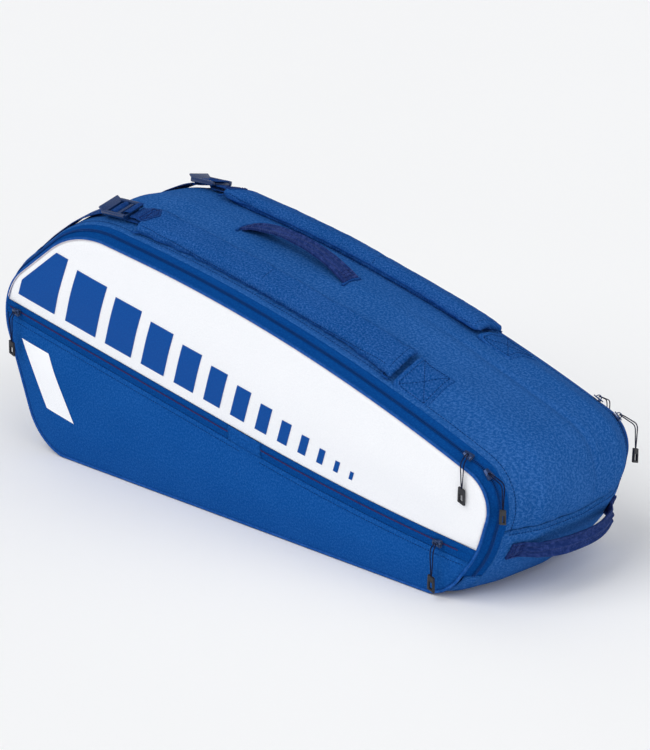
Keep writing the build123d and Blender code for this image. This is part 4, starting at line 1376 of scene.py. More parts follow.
@dataclass
class Slider:
    """A zip slider with its doubled cord pull and moulded tab."""

    name: str
    place: Vector
    along: Vector
    up: Vector
    swing: Vector
    facing: Vector
    lift: float = 2.2 * MM
    bridge_height: float = 9.1 * MM

    def local(self) -> Matrix:
        """The slider's own frame: X along the zip, Z off the tape."""
        return frame_at(self.place, self.along, self.up)

    def build(self) -> None:
        """Builds the slider's body, cord and tab."""
        parts = []
        for level, wall in ((self.lift + 1.7 * MM, 1.3 * MM), (self.lift - 0.7 * MM, 1.0 * MM)):
            plate = block((11 * MM, 8.2 * MM, wall), 0.5 * MM, Matrix.Translation((0, 0, level)))
            for vertex in plate.verts:
                share = (vertex.co.x + 5.5 * MM) / (11 * MM)
                vertex.co.y *= 0.62 + 0.38 * smooth(share, 0.1, 0.75)
            parts.append(plate)
        parts.append(block((3.2 * MM, 2.2 * MM, 3.6 * MM), 0.5 * MM, Matrix.Translation((2.6 * MM, 0, self.lift + 0.4 * MM))))
        hoop = bmesh.new()
        bmesh.ops.create_circle(hoop, segments=8, radius=0.62 * MM, cap_ends=False,
                                matrix=Matrix.Translation((3.1 * MM, 0, 0)) @ Matrix.Rotation(math.pi / 2, 4, "X"))
        bmesh.ops.spin(hoop, geom=hoop.edges[:], cent=(0, 0, 0), axis=(0, 1, 0), angle=-math.pi, steps=14,
                       dvec=(0, 0, 0), use_merge=False)
        bmesh.ops.remove_doubles(hoop, verts=hoop.verts[:], dist=1e-6)
        bmesh.ops.holes_fill(hoop, edges=hoop.edges[:], sides=8)
        bmesh.ops.recalc_face_normals(hoop, faces=hoop.faces[:])
        bmesh.ops.translate(hoop, vec=(0, 0, self.lift + 2.2 * MM), verts=hoop.verts[:])
        parts.append(hoop)
        body = joined(*parts)
        bmesh.ops.transform(body, matrix=self.local(), verts=body.verts[:])
        Piece(f"{self.name}_slider_body", body, SLIDER_PAINT, f"{self.name}_slider", (f"{self.name}_slider",), 0.0).make()
        self.pull()

    def pull(self) -> None:
        """Builds the cord that loops through the slider's hoop, and the tab at its end."""
        bridge = self.place + self.up.normalized() * (self.bridge_height - 2.6 * MM)
        low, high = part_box(f"{self.name}_pull_tab")
        middle = (low + high) / 2
        foot = Vector((middle.x, middle.y, high.z - 1.6 * MM))
        knee = Vector((middle.x, middle.y, (bridge.z + self.swing.z)))
        across = self.facing.cross(Vector((0, 0, 1))).normalized()
        route = []
        for spot, half in ((bridge, 1.2), (bridge.lerp(knee, 0.6), 2.0), (knee, 2.1), (knee.lerp(foot, 0.45), 1.5),
                           (knee.lerp(foot, 0.8), 0.9)):
            route.append(spot + across * half * MM)
        mirrored = [spot - across * 2 * (spot - base).dot(across) for spot, base in
                    zip(route, (bridge, bridge.lerp(knee, 0.6), knee, knee.lerp(foot, 0.45), knee.lerp(foot, 0.8)))]
        points = route + [foot - Vector((0, 0, 3 * MM))] + mirrored[::-1] + [bridge - self.up * 1.5 * MM]
        Piece(f"{self.name}_pull_loop", tube(curved(points, 60), 0.62 * MM, 8, closed=True), CORD_BRAID,
              f"{self.name}_pull", (f"{self.name}_pull_cord",)).make()
        self.tab(middle, high.z - low.z)

    def tab(self, middle: Vector, height: float) -> None:
        """Builds the moulded tab: a slanted frame with a window."""
        mesh = bmesh.new()
        bmesh.ops.create_grid(mesh, x_segments=3, y_segments=4, size=0.5)
        xs, ys = (-0.5, -0.24, 0.24, 0.5), (-0.5, -0.36, 0.10, 0.30, 0.5)
        for vertex in mesh.verts:
            column, row = round((vertex.co.x + 0.5) * 3), round((vertex.co.y + 0.5) * 4)
            taper = 1.0 - 0.14 * row / 4
            vertex.co.x = xs[column] * 8.8 * MM * taper
            vertex.co.y = ys[row] * (height - 2.6 * MM) + vertex.co.x * 0.34
        centre = min(mesh.faces, key=lambda f: (f.calc_center_median() - Vector((0, -0.13 * height, 0))).length)
        bmesh.ops.delete(mesh, geom=[centre], context="FACES")
        bmesh.ops.solidify(mesh, geom=mesh.faces[:], thickness=3.0 * MM)
        bmesh.ops.recalc_face_normals(mesh, faces=mesh.faces[:])
        edges = [e for e in mesh.edges if len(e.link_faces) == 2 and e.calc_face_angle(0) > 0.6]
        bmesh.ops.bevel(mesh, geom=edges, offset=0.55 * MM, segments=2, profile=0.5, affect="EDGES", material=-1)
        zs = [v.co.z for v in mesh.verts]
        bmesh.ops.translate(mesh, vec=(0, 0, -(min(zs) + max(zs)) / 2), verts=mesh.verts[:])
        turn = Matrix((self.facing.cross(Vector((0, 0, 1))), Vector((0, 0, 1)), self.facing)).transposed().to_4x4()
        turn.translation = middle
        bmesh.ops.transform(mesh, matrix=turn, verts=mesh.verts[:])
        bmesh.ops.recalc_face_normals(mesh, faces=mesh.faces[:])
        Piece(f"{self.name}_pull_moulding", mesh, TAB_RUBBER, f"{self.name}_pull", (f"{self.name}_pull_tab",),
              smooth=False).make()


def curved(points: Sequence[Vector], count: int) -> list[Vector]:
    """Points along a smooth closed curve that runs near the given ones."""
    size = len(points)
    dense = []
    for index in range(size):
        before, here, after = points[index - 1], points[index], points[(index + 1) % size]
        first, last = (before + here) / 2, (here + after) / 2
        for step in range(8):
            share = step / 8
            dense.append(first.lerp(here, share).lerp(here.lerp(last, share), share))
    return resampled(dense + [dense[0]], count)[:-1]


def main_slider(side: Side, which: str) -> Slider:
    """Finds a main zip's slider in the frame and places it on the closed teeth."""
    name = f"{side.word}_{which}"
    low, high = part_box(f"{name}_slider")
    centre = (low + high) / 2
    line = OUTLINE.stretch(107.1 * MM, 0.0, HEAD_LOW, ZIP_END, 2400)
    index = min(range(1, len(line) - 1), key=lambda i: (line[i] - Vector((centre.x, centre.z))).length)
    normal = normals_of(line[index - 1:index + 2])[1]
    up = Vector((normal.x * 0.8, side.value * 0.6, normal.y * 0.8))
    place = Vector((line[index].x, side.value * 107.1 * MM, line[index].y))
    swing = Vector((0, 0, -7 * MM))
    facing = Vector((0, side.value, 0)) if which == "top" else Vector((1, 0, 0))
    return Slider(name, place, Vector((normal.y, 0, -normal.x)), up, swing, facing)


def pocket_slider(which: str) -> Slider:
    """Finds one of the pocket's sliders in the frame."""
    low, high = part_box(f"pocket_{which}_slider")
    x = (low.x + high.x) / 2
    slope = (SEAM.height(x + MM) - SEAM.height(x - MM)) / (2 * MM)
    place = Vector((x, -119.8 * MM, SEAM.height(x) - 7 * MM))
    return Slider(f"pocket_{which}", place, Vector((1, 0, slope)), Vector((0, -1, 0)),
                  Vector((0, 0, -6 * MM)), Vector((0, -1, 0)))


# ------------------------------------------------------------------ shoulder straps
def inflated(piece: bpy.types.Object, pressure: float, cap: float, frames: int = 18) -> None:
    """Swells a closed mesh like stuffed cloth, with a limit on how far any point moves.

    Args:
        piece: the object, whose mesh is replaced.
        pressure: the pressure inside it.
        cap: the furthest that a point may move, in metres.
        frames: how long the cloth settles.
    """
    rest = [vertex.co.copy() for vertex in piece.data.vertices]
    cloth = piece.modifiers.new("cloth", "CLOTH")
    cloth.settings.use_pressure = True
    cloth.settings.uniform_pressure_force = pressure
    cloth.settings.effector_weights.gravity = 0.0
    cloth.settings.quality = 5
    cloth.settings.tension_stiffness = cloth.settings.compression_stiffness = 25.0
    cloth.point_cache.frame_end = frames
    for number in range(1, frames + 1):
        bpy.context.scene.frame_set(number)
    settled = piece.evaluated_get(bpy.context.evaluated_depsgraph_get())
    moved = [vertex.co.copy() for vertex in settled.data.vertices]
    piece.modifiers.remove(cloth)
    bpy.context.scene.frame_set(1)
    for vertex, old, new in zip(piece.data.vertices, rest, moved):
        shift = new - old
        vertex.co = old + (shift.normalized() * min(shift.length, cap) if shift.length else shift)


@dataclass
class Strap:
    """A padded shoulder strap with its anchor, buckle tab, buckle and webbing."""

    side: Side
    middle: float
    cross_seam: float
    low_x: float = -168 * MM
    high_x: float = 218 * MM
    half: float = 25 * MM
    gap: float = 0.8 * MM
    top: float = 11.6 * MM
    buckle_gap: float = 2.4 * MM
    tab_reach: float = 14 * MM
    buckle_length: float = 36 * MM
    webbing_x: float = -332 * MM

    def body(self, part: str) -> str:
        """The name of one of this strap's bodies."""
        return f"{self.side.word}_{part}"

    def ground(self, x: float, y: float) -> float:
        """Height of the cloth under the strap."""
        flat = Vector((x, OUTLINE.height(x, y)))
        return flat.y + relief(y, flat)

    def build(self) -> None:
        """Builds every piece of the strap."""
        self.pad()
        self.probe = on_top(self.cushion)
        self.solid = BVHTree.FromObject(self.cushion, bpy.context.evaluated_depsgraph_get())
        self.edging()
        self.anchor()
        self.buckle_tab()
        self.buckle()
        self.webbing()

    def pad(self) -> None:
        """Builds the foam pad in its cloth, and lets it swell."""
        start, stop = Mark(0, self.low_x + 1.5 * MM, True), Mark(0, self.high_x - 1.5 * MM, True)
        reach = self.half - 1.5 * MM
        depths = spread(self.middle - reach, self.middle + reach, 4 * MM)
        mesh = skin_sheet(depths, start, stop, 90, lambda d, s: self.top - 1.0 * MM)
        bmesh.ops.solidify(mesh, geom=mesh.faces[:], thickness=self.top - self.gap - 2.2 * MM)
        bmesh.ops.recalc_face_normals(mesh, faces=mesh.faces[:])
        name = self.body("strap_cushion")
        facts = Piece(name, mesh, STRAP_CLOTH, self.body("strap"), (self.body("strap_pad"),), ride=False)
        piece = facts.make()
        remesh = piece.modifiers.new("voxels", "REMESH")
        remesh.mode, remesh.voxel_size = "VOXEL", 4.5 * MM
        bake(piece)
        inflated(piece, 4.0, 5 * MM)
        for vertex in piece.data.vertices:
            spot = vertex.co
            edge = abs(abs(spot.y - self.middle) - 19.5 * MM)
            above = spot.z - self.ground(spot.x, spot.y)
            if above > 5 * MM:
                spot.z -= 1.5 * MM * hill(spot.x, self.cross_seam, 2.6 * MM)
                spot.z -= 1.0 * MM * hill(edge, 0.0, 1.8 * MM)
        finer = piece.modifiers.new("finer", "SUBSURF")
        finer.levels = finer.render_levels = 1
        bake(piece)
        for vertex in piece.data.vertices:
            vertex.co.z = max(vertex.co.z, self.ground(vertex.co.x, vertex.co.y) + 0.5 * MM)
        add_pattern(piece)
        settle(piece, facts)
        self.cushion = piece

    def flank(self, x: float, way: int) -> Vector:
        """The middle of the pad's side at X."""
        edge = self.middle + way * self.half
        level = self.ground(x, edge) + 5.4 * MM
        hit = self.solid.ray_cast(Vector((x, self.middle + way * 0.06, level)), Vector((0, -way, 0)))[0]
        y = min(hit.y * way, edge * way + 3 * MM) * way if hit else edge
        return Vector((x, y, level))

    def edging(self) -> None:
        """Sews the pad's edges: a bound seam along each side and rows of thread on top."""
        cords, rows = [], []
        for way in (-1, 1):
            cord, row = [], []
            for step in range(100):
                x = self.low_x + 4 * MM + (self.high_x - self.low_x - 8 * MM) * step / 99
                cord.append(self.flank(x, way))
                inner = self.middle + way * 19.5 * MM
                level = self.probe(x, inner)
                if level is not None and 8 * MM < step * 4 * MM < 390 * MM:
                    row.append(Vector((x, inner, level + 0.1 * MM)))
            cords.append(tube(cord, 1.2 * MM, 8))
            rows.append((row, [Vector((0.2, 0, 1))]))
        for x in (self.cross_seam + 2.6 * MM, self.high_x - 6 * MM):
            line = []
            for step in range(12):
                y = self.middle - 19 * MM + 38 * MM * step / 11
                level = self.probe(x, y)
                if level is not None:
                    line.append(Vector((x, y, level + 0.1 * MM)))
            rows.append((line, [Vector((0.2, 0, 1))]))
        body = self.body("strap")
        Piece(self.body("strap_edge_binding"), joined(*cords), BINDING, body).make()
        Piece(self.body("strap_stitching"), stitches(rows), THREAD, body).make()

    def anchor(self) -> None:
        """Builds the patch that holds the strap's end, sewn down with a crossed box."""
        length = 46 * MM
        start, stop = Mark(0, self.high_x + 0.7 * MM, True), Mark(0, self.high_x + length, True)
        depths = spread(self.middle - self.half + 0.5 * MM, self.middle + self.half - 0.5 * MM, 2.4 * MM)
        box = (0.16, 0.90)

        def lift(depth: float, share: float) -> float:
            """The patch's height: thick by the pad, sewn down along the crossed box."""
            across = (depth - self.middle) / (self.half - 4 * MM)
            along = (share - box[0]) / (box[1] - box[0]) * 2 - 1
            near = min(abs(across - along), abs(across + along))
            inside = max(abs(across), abs(along)) < 1
            sewn = hill(near, 0.0, 0.10) if inside else 0.0
            sewn = max(sewn, hill(max(abs(across), abs(along)), 1.0, 0.07))
            rolled = smooth(self.half - abs(depth - self.middle), 0.3 * MM, 3 * MM)
            thick = 4.6 - 3.2 * smooth(share, 0.0, 0.35)
            return (0.4 + (thick + 0.4 - 1.1 * sewn) * rolled * (1 - smooth(share, 0.93, 1.0))) * MM

        mesh = skin_sheet(depths, start, stop, 30, lift)
        body = "bag_body"
        patch = Piece(self.body("strap_anchor_patch"), mesh, STRAP_CLOTH, body,
                      (self.body("strap_anchor"),), 1.4 * MM, 1).make()
        probe = on_top(patch)
        low, high = self.high_x + length * box[0], self.high_x + length * box[1]
        reach = self.half - 4 * MM
        corners = [(low, -reach), (high, -reach), (high, reach), (low, reach), (low, -reach), (high, reach)]
        rows = []
        for first, second in list(zip(corners, corners[1:])) + [((low, reach), (high, -reach))]:
            line = []
            for step in range(16):
                x = first[0] + (second[0] - first[0]) * step / 15
                y = self.middle + first[1] + (second[1] - first[1]) * step / 15
                level = probe(x, y)
                if level is not None:
                    line.append(Vector((x, y, level + 0.1 * MM)))
            rows.append((line, [Vector((0.3, 0, 1))]))
        Piece(self.body("strap_anchor_stitching"), stitches(rows), THREAD, body).make()

    def buckle_tab(self) -> None:
        """Builds the pointed tab that holds the buckle's bar."""
        end, tip = self.low_x - self.tab_reach, self.low_x + 24 * MM
        columns, rows = 26, 10
        shoulder = tip - 11 * MM

        def place(column: int, row: int) -> Vector:
            """A corner of the tab's grid."""
            x = end + (tip - end) * column / columns
            width = 14.5 * MM * (1 - 0.97 * smooth_line(x, shoulder, tip)) if x > shoulder else 14.5 * MM
            width = min(width, 11.7 * MM + 2.8 * MM * smooth(x, end + 6 * MM, self.low_x + 3 * MM))
            y = self.middle + width * (2 * row / rows - 1)
            top = self.probe(max(x, self.low_x + 3 * MM), self.middle + width * 0.9 * (2 * row / rows - 1))
            level = top if top is not None else self.ground(x, y) + self.top
            bar = self.ground(x, y) + 9.6 * MM
            ease = smooth(x, end, self.low_x + 4 * MM)
            return Vector((x, y, bar * (1 - ease) + (level + 1.0 * MM) * ease))

        mesh = turned_outwards(sheet(columns, rows, place, (tip - end, 30 * MM)), lambda p: Vector((0, 0, 1)))
        bmesh.ops.dissolve_degenerate(mesh, dist=0.05 * MM, edges=mesh.edges[:])
        tab = Piece(self.body("strap_tab_webbing"), mesh, WEBBING, self.body("strap"),
                    (self.body("strap_tab"),), 1.5 * MM, 1).make()
        wrap = self.bar_wrap(end)
        Piece(self.body("strap_tab_fold"), wrap, WEBBING, self.body("strap"), (self.body("strap_tab"),), 1.3 * MM, 1).make()
        probe = on_top(tab)
        edge = 11.6 * MM
        route = [(self.low_x + 2 * MM, -edge), (shoulder - 1 * MM, -edge), (tip - 4 * MM, 0.0), (shoulder - 1 * MM, edge),
                 (self.low_x + 2 * MM, edge), (self.low_x + 2 * MM, -edge), (shoulder - 1 * MM, edge)]
        route += [(self.low_x + 2 * MM, edge), (shoulder - 1 * MM, -edge)]
        rows_of = []
        for first, second in zip(route, route[1:]):
            line = []
            for step in range(14):
                x = first[0] + (second[0] - first[0]) * step / 13
                y = self.middle + first[1] + (second[1] - first[1]) * step / 13
                level = probe(x, y)
                if level is not None:
                    line.append(Vector((x, y, level + 0.15 * MM)))
            if len(line) > 2:
                rows_of.append((line, [Vector((0, 0, 1))]))
        Piece(self.body("strap_tab_stitching"), stitches(rows_of, 2.8 * MM, 0.42 * MM), NAVY_THREAD,
              self.body("strap")).make()

    def bar_wrap(self, end: float) -> bmesh.types.BMesh:
        """The tab's end, folded round the buckle's first bar."""
        bar = self.buckle_frame() @ Vector((-2.4 * MM, 0, 0))
        radius = 4.5 * MM
        columns = 16

        def place(column: int, row: int) -> Vector:
            """A corner of the fold's grid, from the top of the bar round to underneath."""
            share = column / columns
            y = self.middle + 11.7 * MM * (2 * row / 8 - 1)
            lean = (y - self.middle) * self.slope()
            if share < 0.25:
                blend = share / 0.25
                return Vector((end + 1.5 * MM + (bar.x - end - 1.5 * MM) * blend, y, bar.z + radius + lean))
            turn = math.pi * min((share - 0.25) / 0.5, 1.0)
            x, z = bar.x - math.sin(turn) * radius, bar.z + math.cos(turn) * radius + lean
            if share > 0.75:
                x += (share - 0.75) / 0.25 * (self.low_x + 1 * MM - bar.x)
            return Vector((x, y, max(z, self.ground(x, y) + 2.2 * MM)))

        return sheet(columns, 8, place, (0.03, 0.025))

    def slope(self) -> float:
        """How much the skin rises across the buckle, per metre of Y."""
        x = self.low_x - self.tab_reach
        near, far = self.middle - 17 * MM, self.middle + 17 * MM
        return (OUTLINE.height(x, far) - OUTLINE.height(x, near)) / (far - near)

    def buckle_frame(self) -> Matrix:
        """The buckle's frame: X back to the strap, Y across, Z off the bag."""
        x = self.low_x - self.tab_reach - self.buckle_gap
        low_x = x - self.buckle_length
        fixed, free = OUTLINE.height(x, self.middle), OUTLINE.height(low_x, self.middle)
        lean = Vector((self.buckle_length, 0, fixed - free)).normalized()
        across = Vector((0, 1, self.slope())).normalized()
        up = lean.cross(across)
        return frame_at(Vector((x, self.middle, fixed)) + up * 9 * MM, lean, up)

    def buckle(self) -> None:
        """Builds the ladder-lock buckle: two rails, four bars and a lifting lip."""
        parts = []
        for way in (-1, 1):
            rail = block((36 * MM, 4.3 * MM, 5.6 * MM), 1.3 * MM, Matrix.Translation((-18 * MM, way * 14.7 * MM, 0)), 3)
            parts.append(rail)
        for x, level, size in ((-2.4, -0.9, 3.8), (-12.6, 0.8, 4.8), (-23.0, 1.2, 4.8), (-33.4, 0.2, 4.4)):
            bar = block((size * MM, 26 * MM, 3.6 * MM), 1.0 * MM, Matrix.Translation((x * MM, 0, level * MM)), 3)
            parts.append(bar)
            for rib in range(-4, 5):
                if x in (-12.6, -23.0):
                    spot = Matrix.Translation((x * MM, rib * 2.6 * MM, (level + 1.75) * MM))
                    parts.append(block((size * 0.9 * MM, 0.7 * MM, 0.7 * MM), 0.2 * MM, spot, 1))
        lip = block((8 * MM, 31 * MM, 2.6 * MM), 1.1 * MM,
                    Matrix.Translation((-36.6 * MM, 0, 2.6 * MM)) @ Matrix.Rotation(math.radians(32), 4, "Y"), 3)
        parts.append(lip)
        mesh = joined(*parts)
        for vertex in mesh.verts:
            bow = ((vertex.co.x + 18 * MM) / (18 * MM)) ** 2
            vertex.co.z += 1.4 * MM * bow
        bmesh.ops.transform(mesh, matrix=self.buckle_frame(), verts=mesh.verts[:])
        Piece(self.body("strap_ladder_buckle"), mesh, BUCKLE_PLASTIC, self.body("buckle"),
              (self.body("strap_buckle"),)).make()
        self.threaded()

    def threaded(self) -> None:
        """Builds the stretch of webbing that is threaded over the buckle's middle bars."""
        heights = ((-38.5, -4.2), (-33.4, -2.6), (-28.5, 0.2), (-23.0, 4.6), (-17.8, 3.4), (-16.2, -1.0),
                   (-18.0, -3.6), (-24.0, -4.4), (-33.0, -5.2), (-40.0, -5.8))
        nodes = [Vector((x, z)) for x, z in heights]
        dense = []
        for before, here, after in zip(nodes, nodes[1:], nodes[2:]):
            first, last = (before + here) / 2, (here + after) / 2
            dense += [first.lerp(here, s / 6).lerp(here.lerp(last, s / 6), s / 6) for s in range(7)]
        line = resampled(dense, 44)
        matrix = self.buckle_frame()

        def place(column: int, row: int) -> Vector:
            """A corner of the webbing's grid."""
            return matrix @ Vector((line[column].x * MM, 11.6 * MM * (2 * row / 8 - 1), line[column].y * MM))

        mesh = sheet(44, 8, place, (0.07, 0.025))
        Piece(self.body("buckle_webbing"), mesh, WEBBING, self.body("buckle"), wall=1.2 * MM).make()

    def webbing(self) -> None:
        """Builds the webbing from the buckle to the head end, with its sewn anchor."""
        stop_x = self.low_x - self.tab_reach - 2 * self.buckle_gap - self.buckle_length
        half = 12.4 * MM
        depths = spread(self.middle - half, self.middle + half, 3 * MM)
        reach = stop_x - self.webbing_x

        def lift(depth: float, share: float) -> float:
            """Height of the webbing: slack in its middle, up to the buckle at its end."""
            wave = 0.8 * math.sin(share * math.pi) + 0.5 * math.sin(share * 7.0)
            return (3.3 + wave + 2.2 * smooth(share, 0.72, 1.0)) * MM

        mesh = skin_sheet(depths, Mark(0, self.webbing_x, True), Mark(0, stop_x, True), round(reach / (4 * MM)), lift)
        Piece(self.body("strap_webbing_run"), mesh, WEBBING, self.body("webbing"),
              (self.body("strap_webbing"),), 1.4 * MM, 1).make()
        start = Mark(0, self.webbing_x - 24 * MM, True)
        mesh = skin_sheet(depths, start, Mark(0, self.webbing_x - 0.6 * MM, True), 12,
                          lambda d, s: (2.0 + 1.6 * smooth(s, 0.3, 1.0)) * MM)
        anchor = Piece(self.body("webbing_anchor_end"), mesh, WEBBING, "bag_body",
                       (self.body("webbing_anchor"),), 1.6 * MM, 1).make()
        probe = on_top(anchor)
        rows = []
        for x in (-353.5, -345.0, -336.0):
            line = []
            for step in range(10):
                y = self.middle + (half - 2 * MM) * (2 * step / 9 - 1)
                level = probe(x * MM, y)
                if level is not None:
                    line.append(Vector((x * MM, y, level + 0.15 * MM)))
            if len(line) > 2:
                rows.append((line, [Vector((-0.6, 0, 0.8))]))
        Piece(self.body("webbing_anchor_stitching"), stitches(rows, 2.6 * MM, 0.4 * MM), NAVY_THREAD, "bag_body").make()


def smooth_line(value: float, low: float, high: float) -> float:
    """Share of the way from low to high, kept between 0 and 1."""
    return min(max((value - low) / (high - low), 0.0), 1.0)


def bake(piece: bpy.types.Object) -> None:
    """Makes a piece's modifiers part of its mesh."""
    shaped = piece.evaluated_get(bpy.context.evaluated_depsgraph_get())
    data = bpy.data.meshes.new_from_object(shaped)
    old = piece.data
    materials = list(old.materials)
    piece.modifiers.clear()
    piece.data = data
    if not data.materials:
        for material in materials:
            data.materials.append(material)
    data.polygons.foreach_set("use_smooth", [True] * len(data.polygons))
    bpy.data.meshes.remove(old)


def add_pattern(piece: bpy.types.Object) -> None:
    """Gives a remeshed piece pattern coordinates along X and across Y."""
    data = piece.data
    layer = data.uv_layers.get(UV_NAME) or data.uv_layers.new(name=UV_NAME)
    for loop in data.loops:
        spot = data.vertices[loop.vertex_index].co
        layer.data[loop.index].uv = (spot.x, spot.y + spot.z)


# ------------------------------------------------------------------ handles
def sharpened(mesh: bmesh.types.BMesh, angle: float = 0.9) -> bmesh.types.BMesh:
    """Marks the edges of a closed shell that are too sharp to be shaded as one surface."""
    mesh.normal_update()
    for edge in mesh.edges:
        if len(edge.link_faces) == 2 and edge.calc_face_angle(0.0) > angle:
            edge.smooth = False
    return mesh


def end_skin(depth: float, height: float) -> Vector:
    """The skin's point in X and Z on the handle end, at a depth and a height."""
    loop = OUTLINE.loop(round(abs(depth) / MM, 3), 0.0)
    for before, after in zip(loop, loop[1:]):
        if before.x > 0 and before.y > height / MM >= after.y:
            return before.lerp(after, (before.y - height / MM) / (before.y - after.y)) * MM
    return Vector((0.0, 0.0))


@dataclass
class CarryHandle:
    """The ribbon on the bag's top: sewn down at both ends and bowed up between them."""

    ends: tuple = (-80 * MM, 75 * MM)
    width: float = 24 * MM
    rise: float = 18 * MM
    wall: float = 2.4 * MM
    root: float = 34 * MM
    columns: int = 40
    rows: int = 20

    def top(self, share: float, across: float) -> Vector:
        """A point of the ribbon's upper face.

        Args:
            share: share of the way along it.
            across: from -1 at one edge to 1 at the other.

        Returns:
            The point.
        """
        low, high = (Vector((x, 0.0, OUTLINE.height(x, 0.0))) for x in self.ends)
        base = low.lerp(high, share)
        lean = (high - low).normalized()
        up = Vector((-lean.z, 0.0, lean.x))
        bow = 1 - abs(2 * share - 1) ** 2.3
        spot = base + up * (3.4 * MM + (self.rise - 3.0 * MM) * bow)
        folds = 0.9 * math.cos(across * 7.2 + 0.9 * math.sin(share * 5)) + 0.5 * math.cos(across * 13.0 + 2.0)
        folds += 0.7 * noise.noise(Vector((share * 9, across * 1.6, 3.0)))
        edge = 2.2 * max(0.0, abs(across) - 0.8) / 0.2
        waist = 1 - 0.10 * math.sin(math.pi * share) + 0.03 * noise.noise(Vector((share * 6, across, 8.0)))
        y = across * self.width / 2 * waist
        skin = OUTLINE.height(spot.x, 0.0)
        floor = skin + relief(y, Vector((spot.x, skin))) + self.wall + 0.6 * MM
        calm = smooth(min(share, 1 - share), 0.0, 0.10)
        z = spot.z + (folds * (0.35 + 0.65 * calm) - edge * 0.5) * MM
        return Vector((spot.x, y, max(z, floor + 0.25 * folds * MM)))

    def build(self) -> None:
        """Builds the two halves of the ribbon, each sewn to the bag and free in the middle."""
        swing = self.root + 1.0 * MM
        for name, first, last, start, end in (
            ("carry_handle_head_half", 0.0, 0.5, self.ends[0] + 20 * MM, self.ends[0] + swing),
            ("carry_handle_end_half", 0.5, 1.0, self.ends[1] - 20 * MM, self.ends[1] - swing),
        ):
            def place(column: int, row: int, first: float = first, last: float = last) -> Vector:
                """A corner of the ribbon's grid."""
                return self.top(first + (last - first) * column / self.columns, 2 * row / self.rows - 1)

            mesh = sheet(self.columns, self.rows, place, (0.08, self.width))
            bmesh.ops.solidify(mesh, geom=mesh.faces[:], thickness=self.wall)
            bmesh.ops.recalc_face_normals(mesh, faces=mesh.faces[:])
            piece = Piece(name, sharpened(mesh), HANDLE_WEB, "carry_handle",
                          ("carry_handle", "carry_handle_ends"), ride=False)
            made = piece.make()
            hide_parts(*piece.replaces)
            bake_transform(made)
        self.dress()

    def dress(self) -> None:
        """Sews the tucked ends down and binds the slot that the head end comes out of."""
        rows = []
        for share in (0.045, 0.075, 0.93, 0.955, 0.98):
            line = [self.top(share, -0.86 + 1.72 * step / 14) + Vector((0, 0, 0.15 * MM)) for step in range(15)]
            rows.append((line, [Vector((0, 0, 1))]))
        Piece("carry_handle_bar_stitching", stitches(rows, 2.2 * MM, 0.45 * MM), NAVY_THREAD, "bag_body").make()
        edges = []
        for share, half in ((-0.012, 15.5), (1.008, 14.5)):
            line = []
            for step in range(12):
                y = half * (2 * step / 11 - 1) * MM
                x = self.ends[0] + (self.ends[1] - self.ends[0]) * share - 1.5 * MM * (1 - (y / (half * MM)) ** 2)
                skin = OUTLINE.height(x, y)
                line.append(Vector((x, y, skin + relief(y, Vector((x, skin))) + 1.0 * MM)))
            edges.append(tube(line, 1.7 * MM, 8))
        Piece("carry_handle_slot_welts", joined(*edges), BINDING, "bag_body").make()


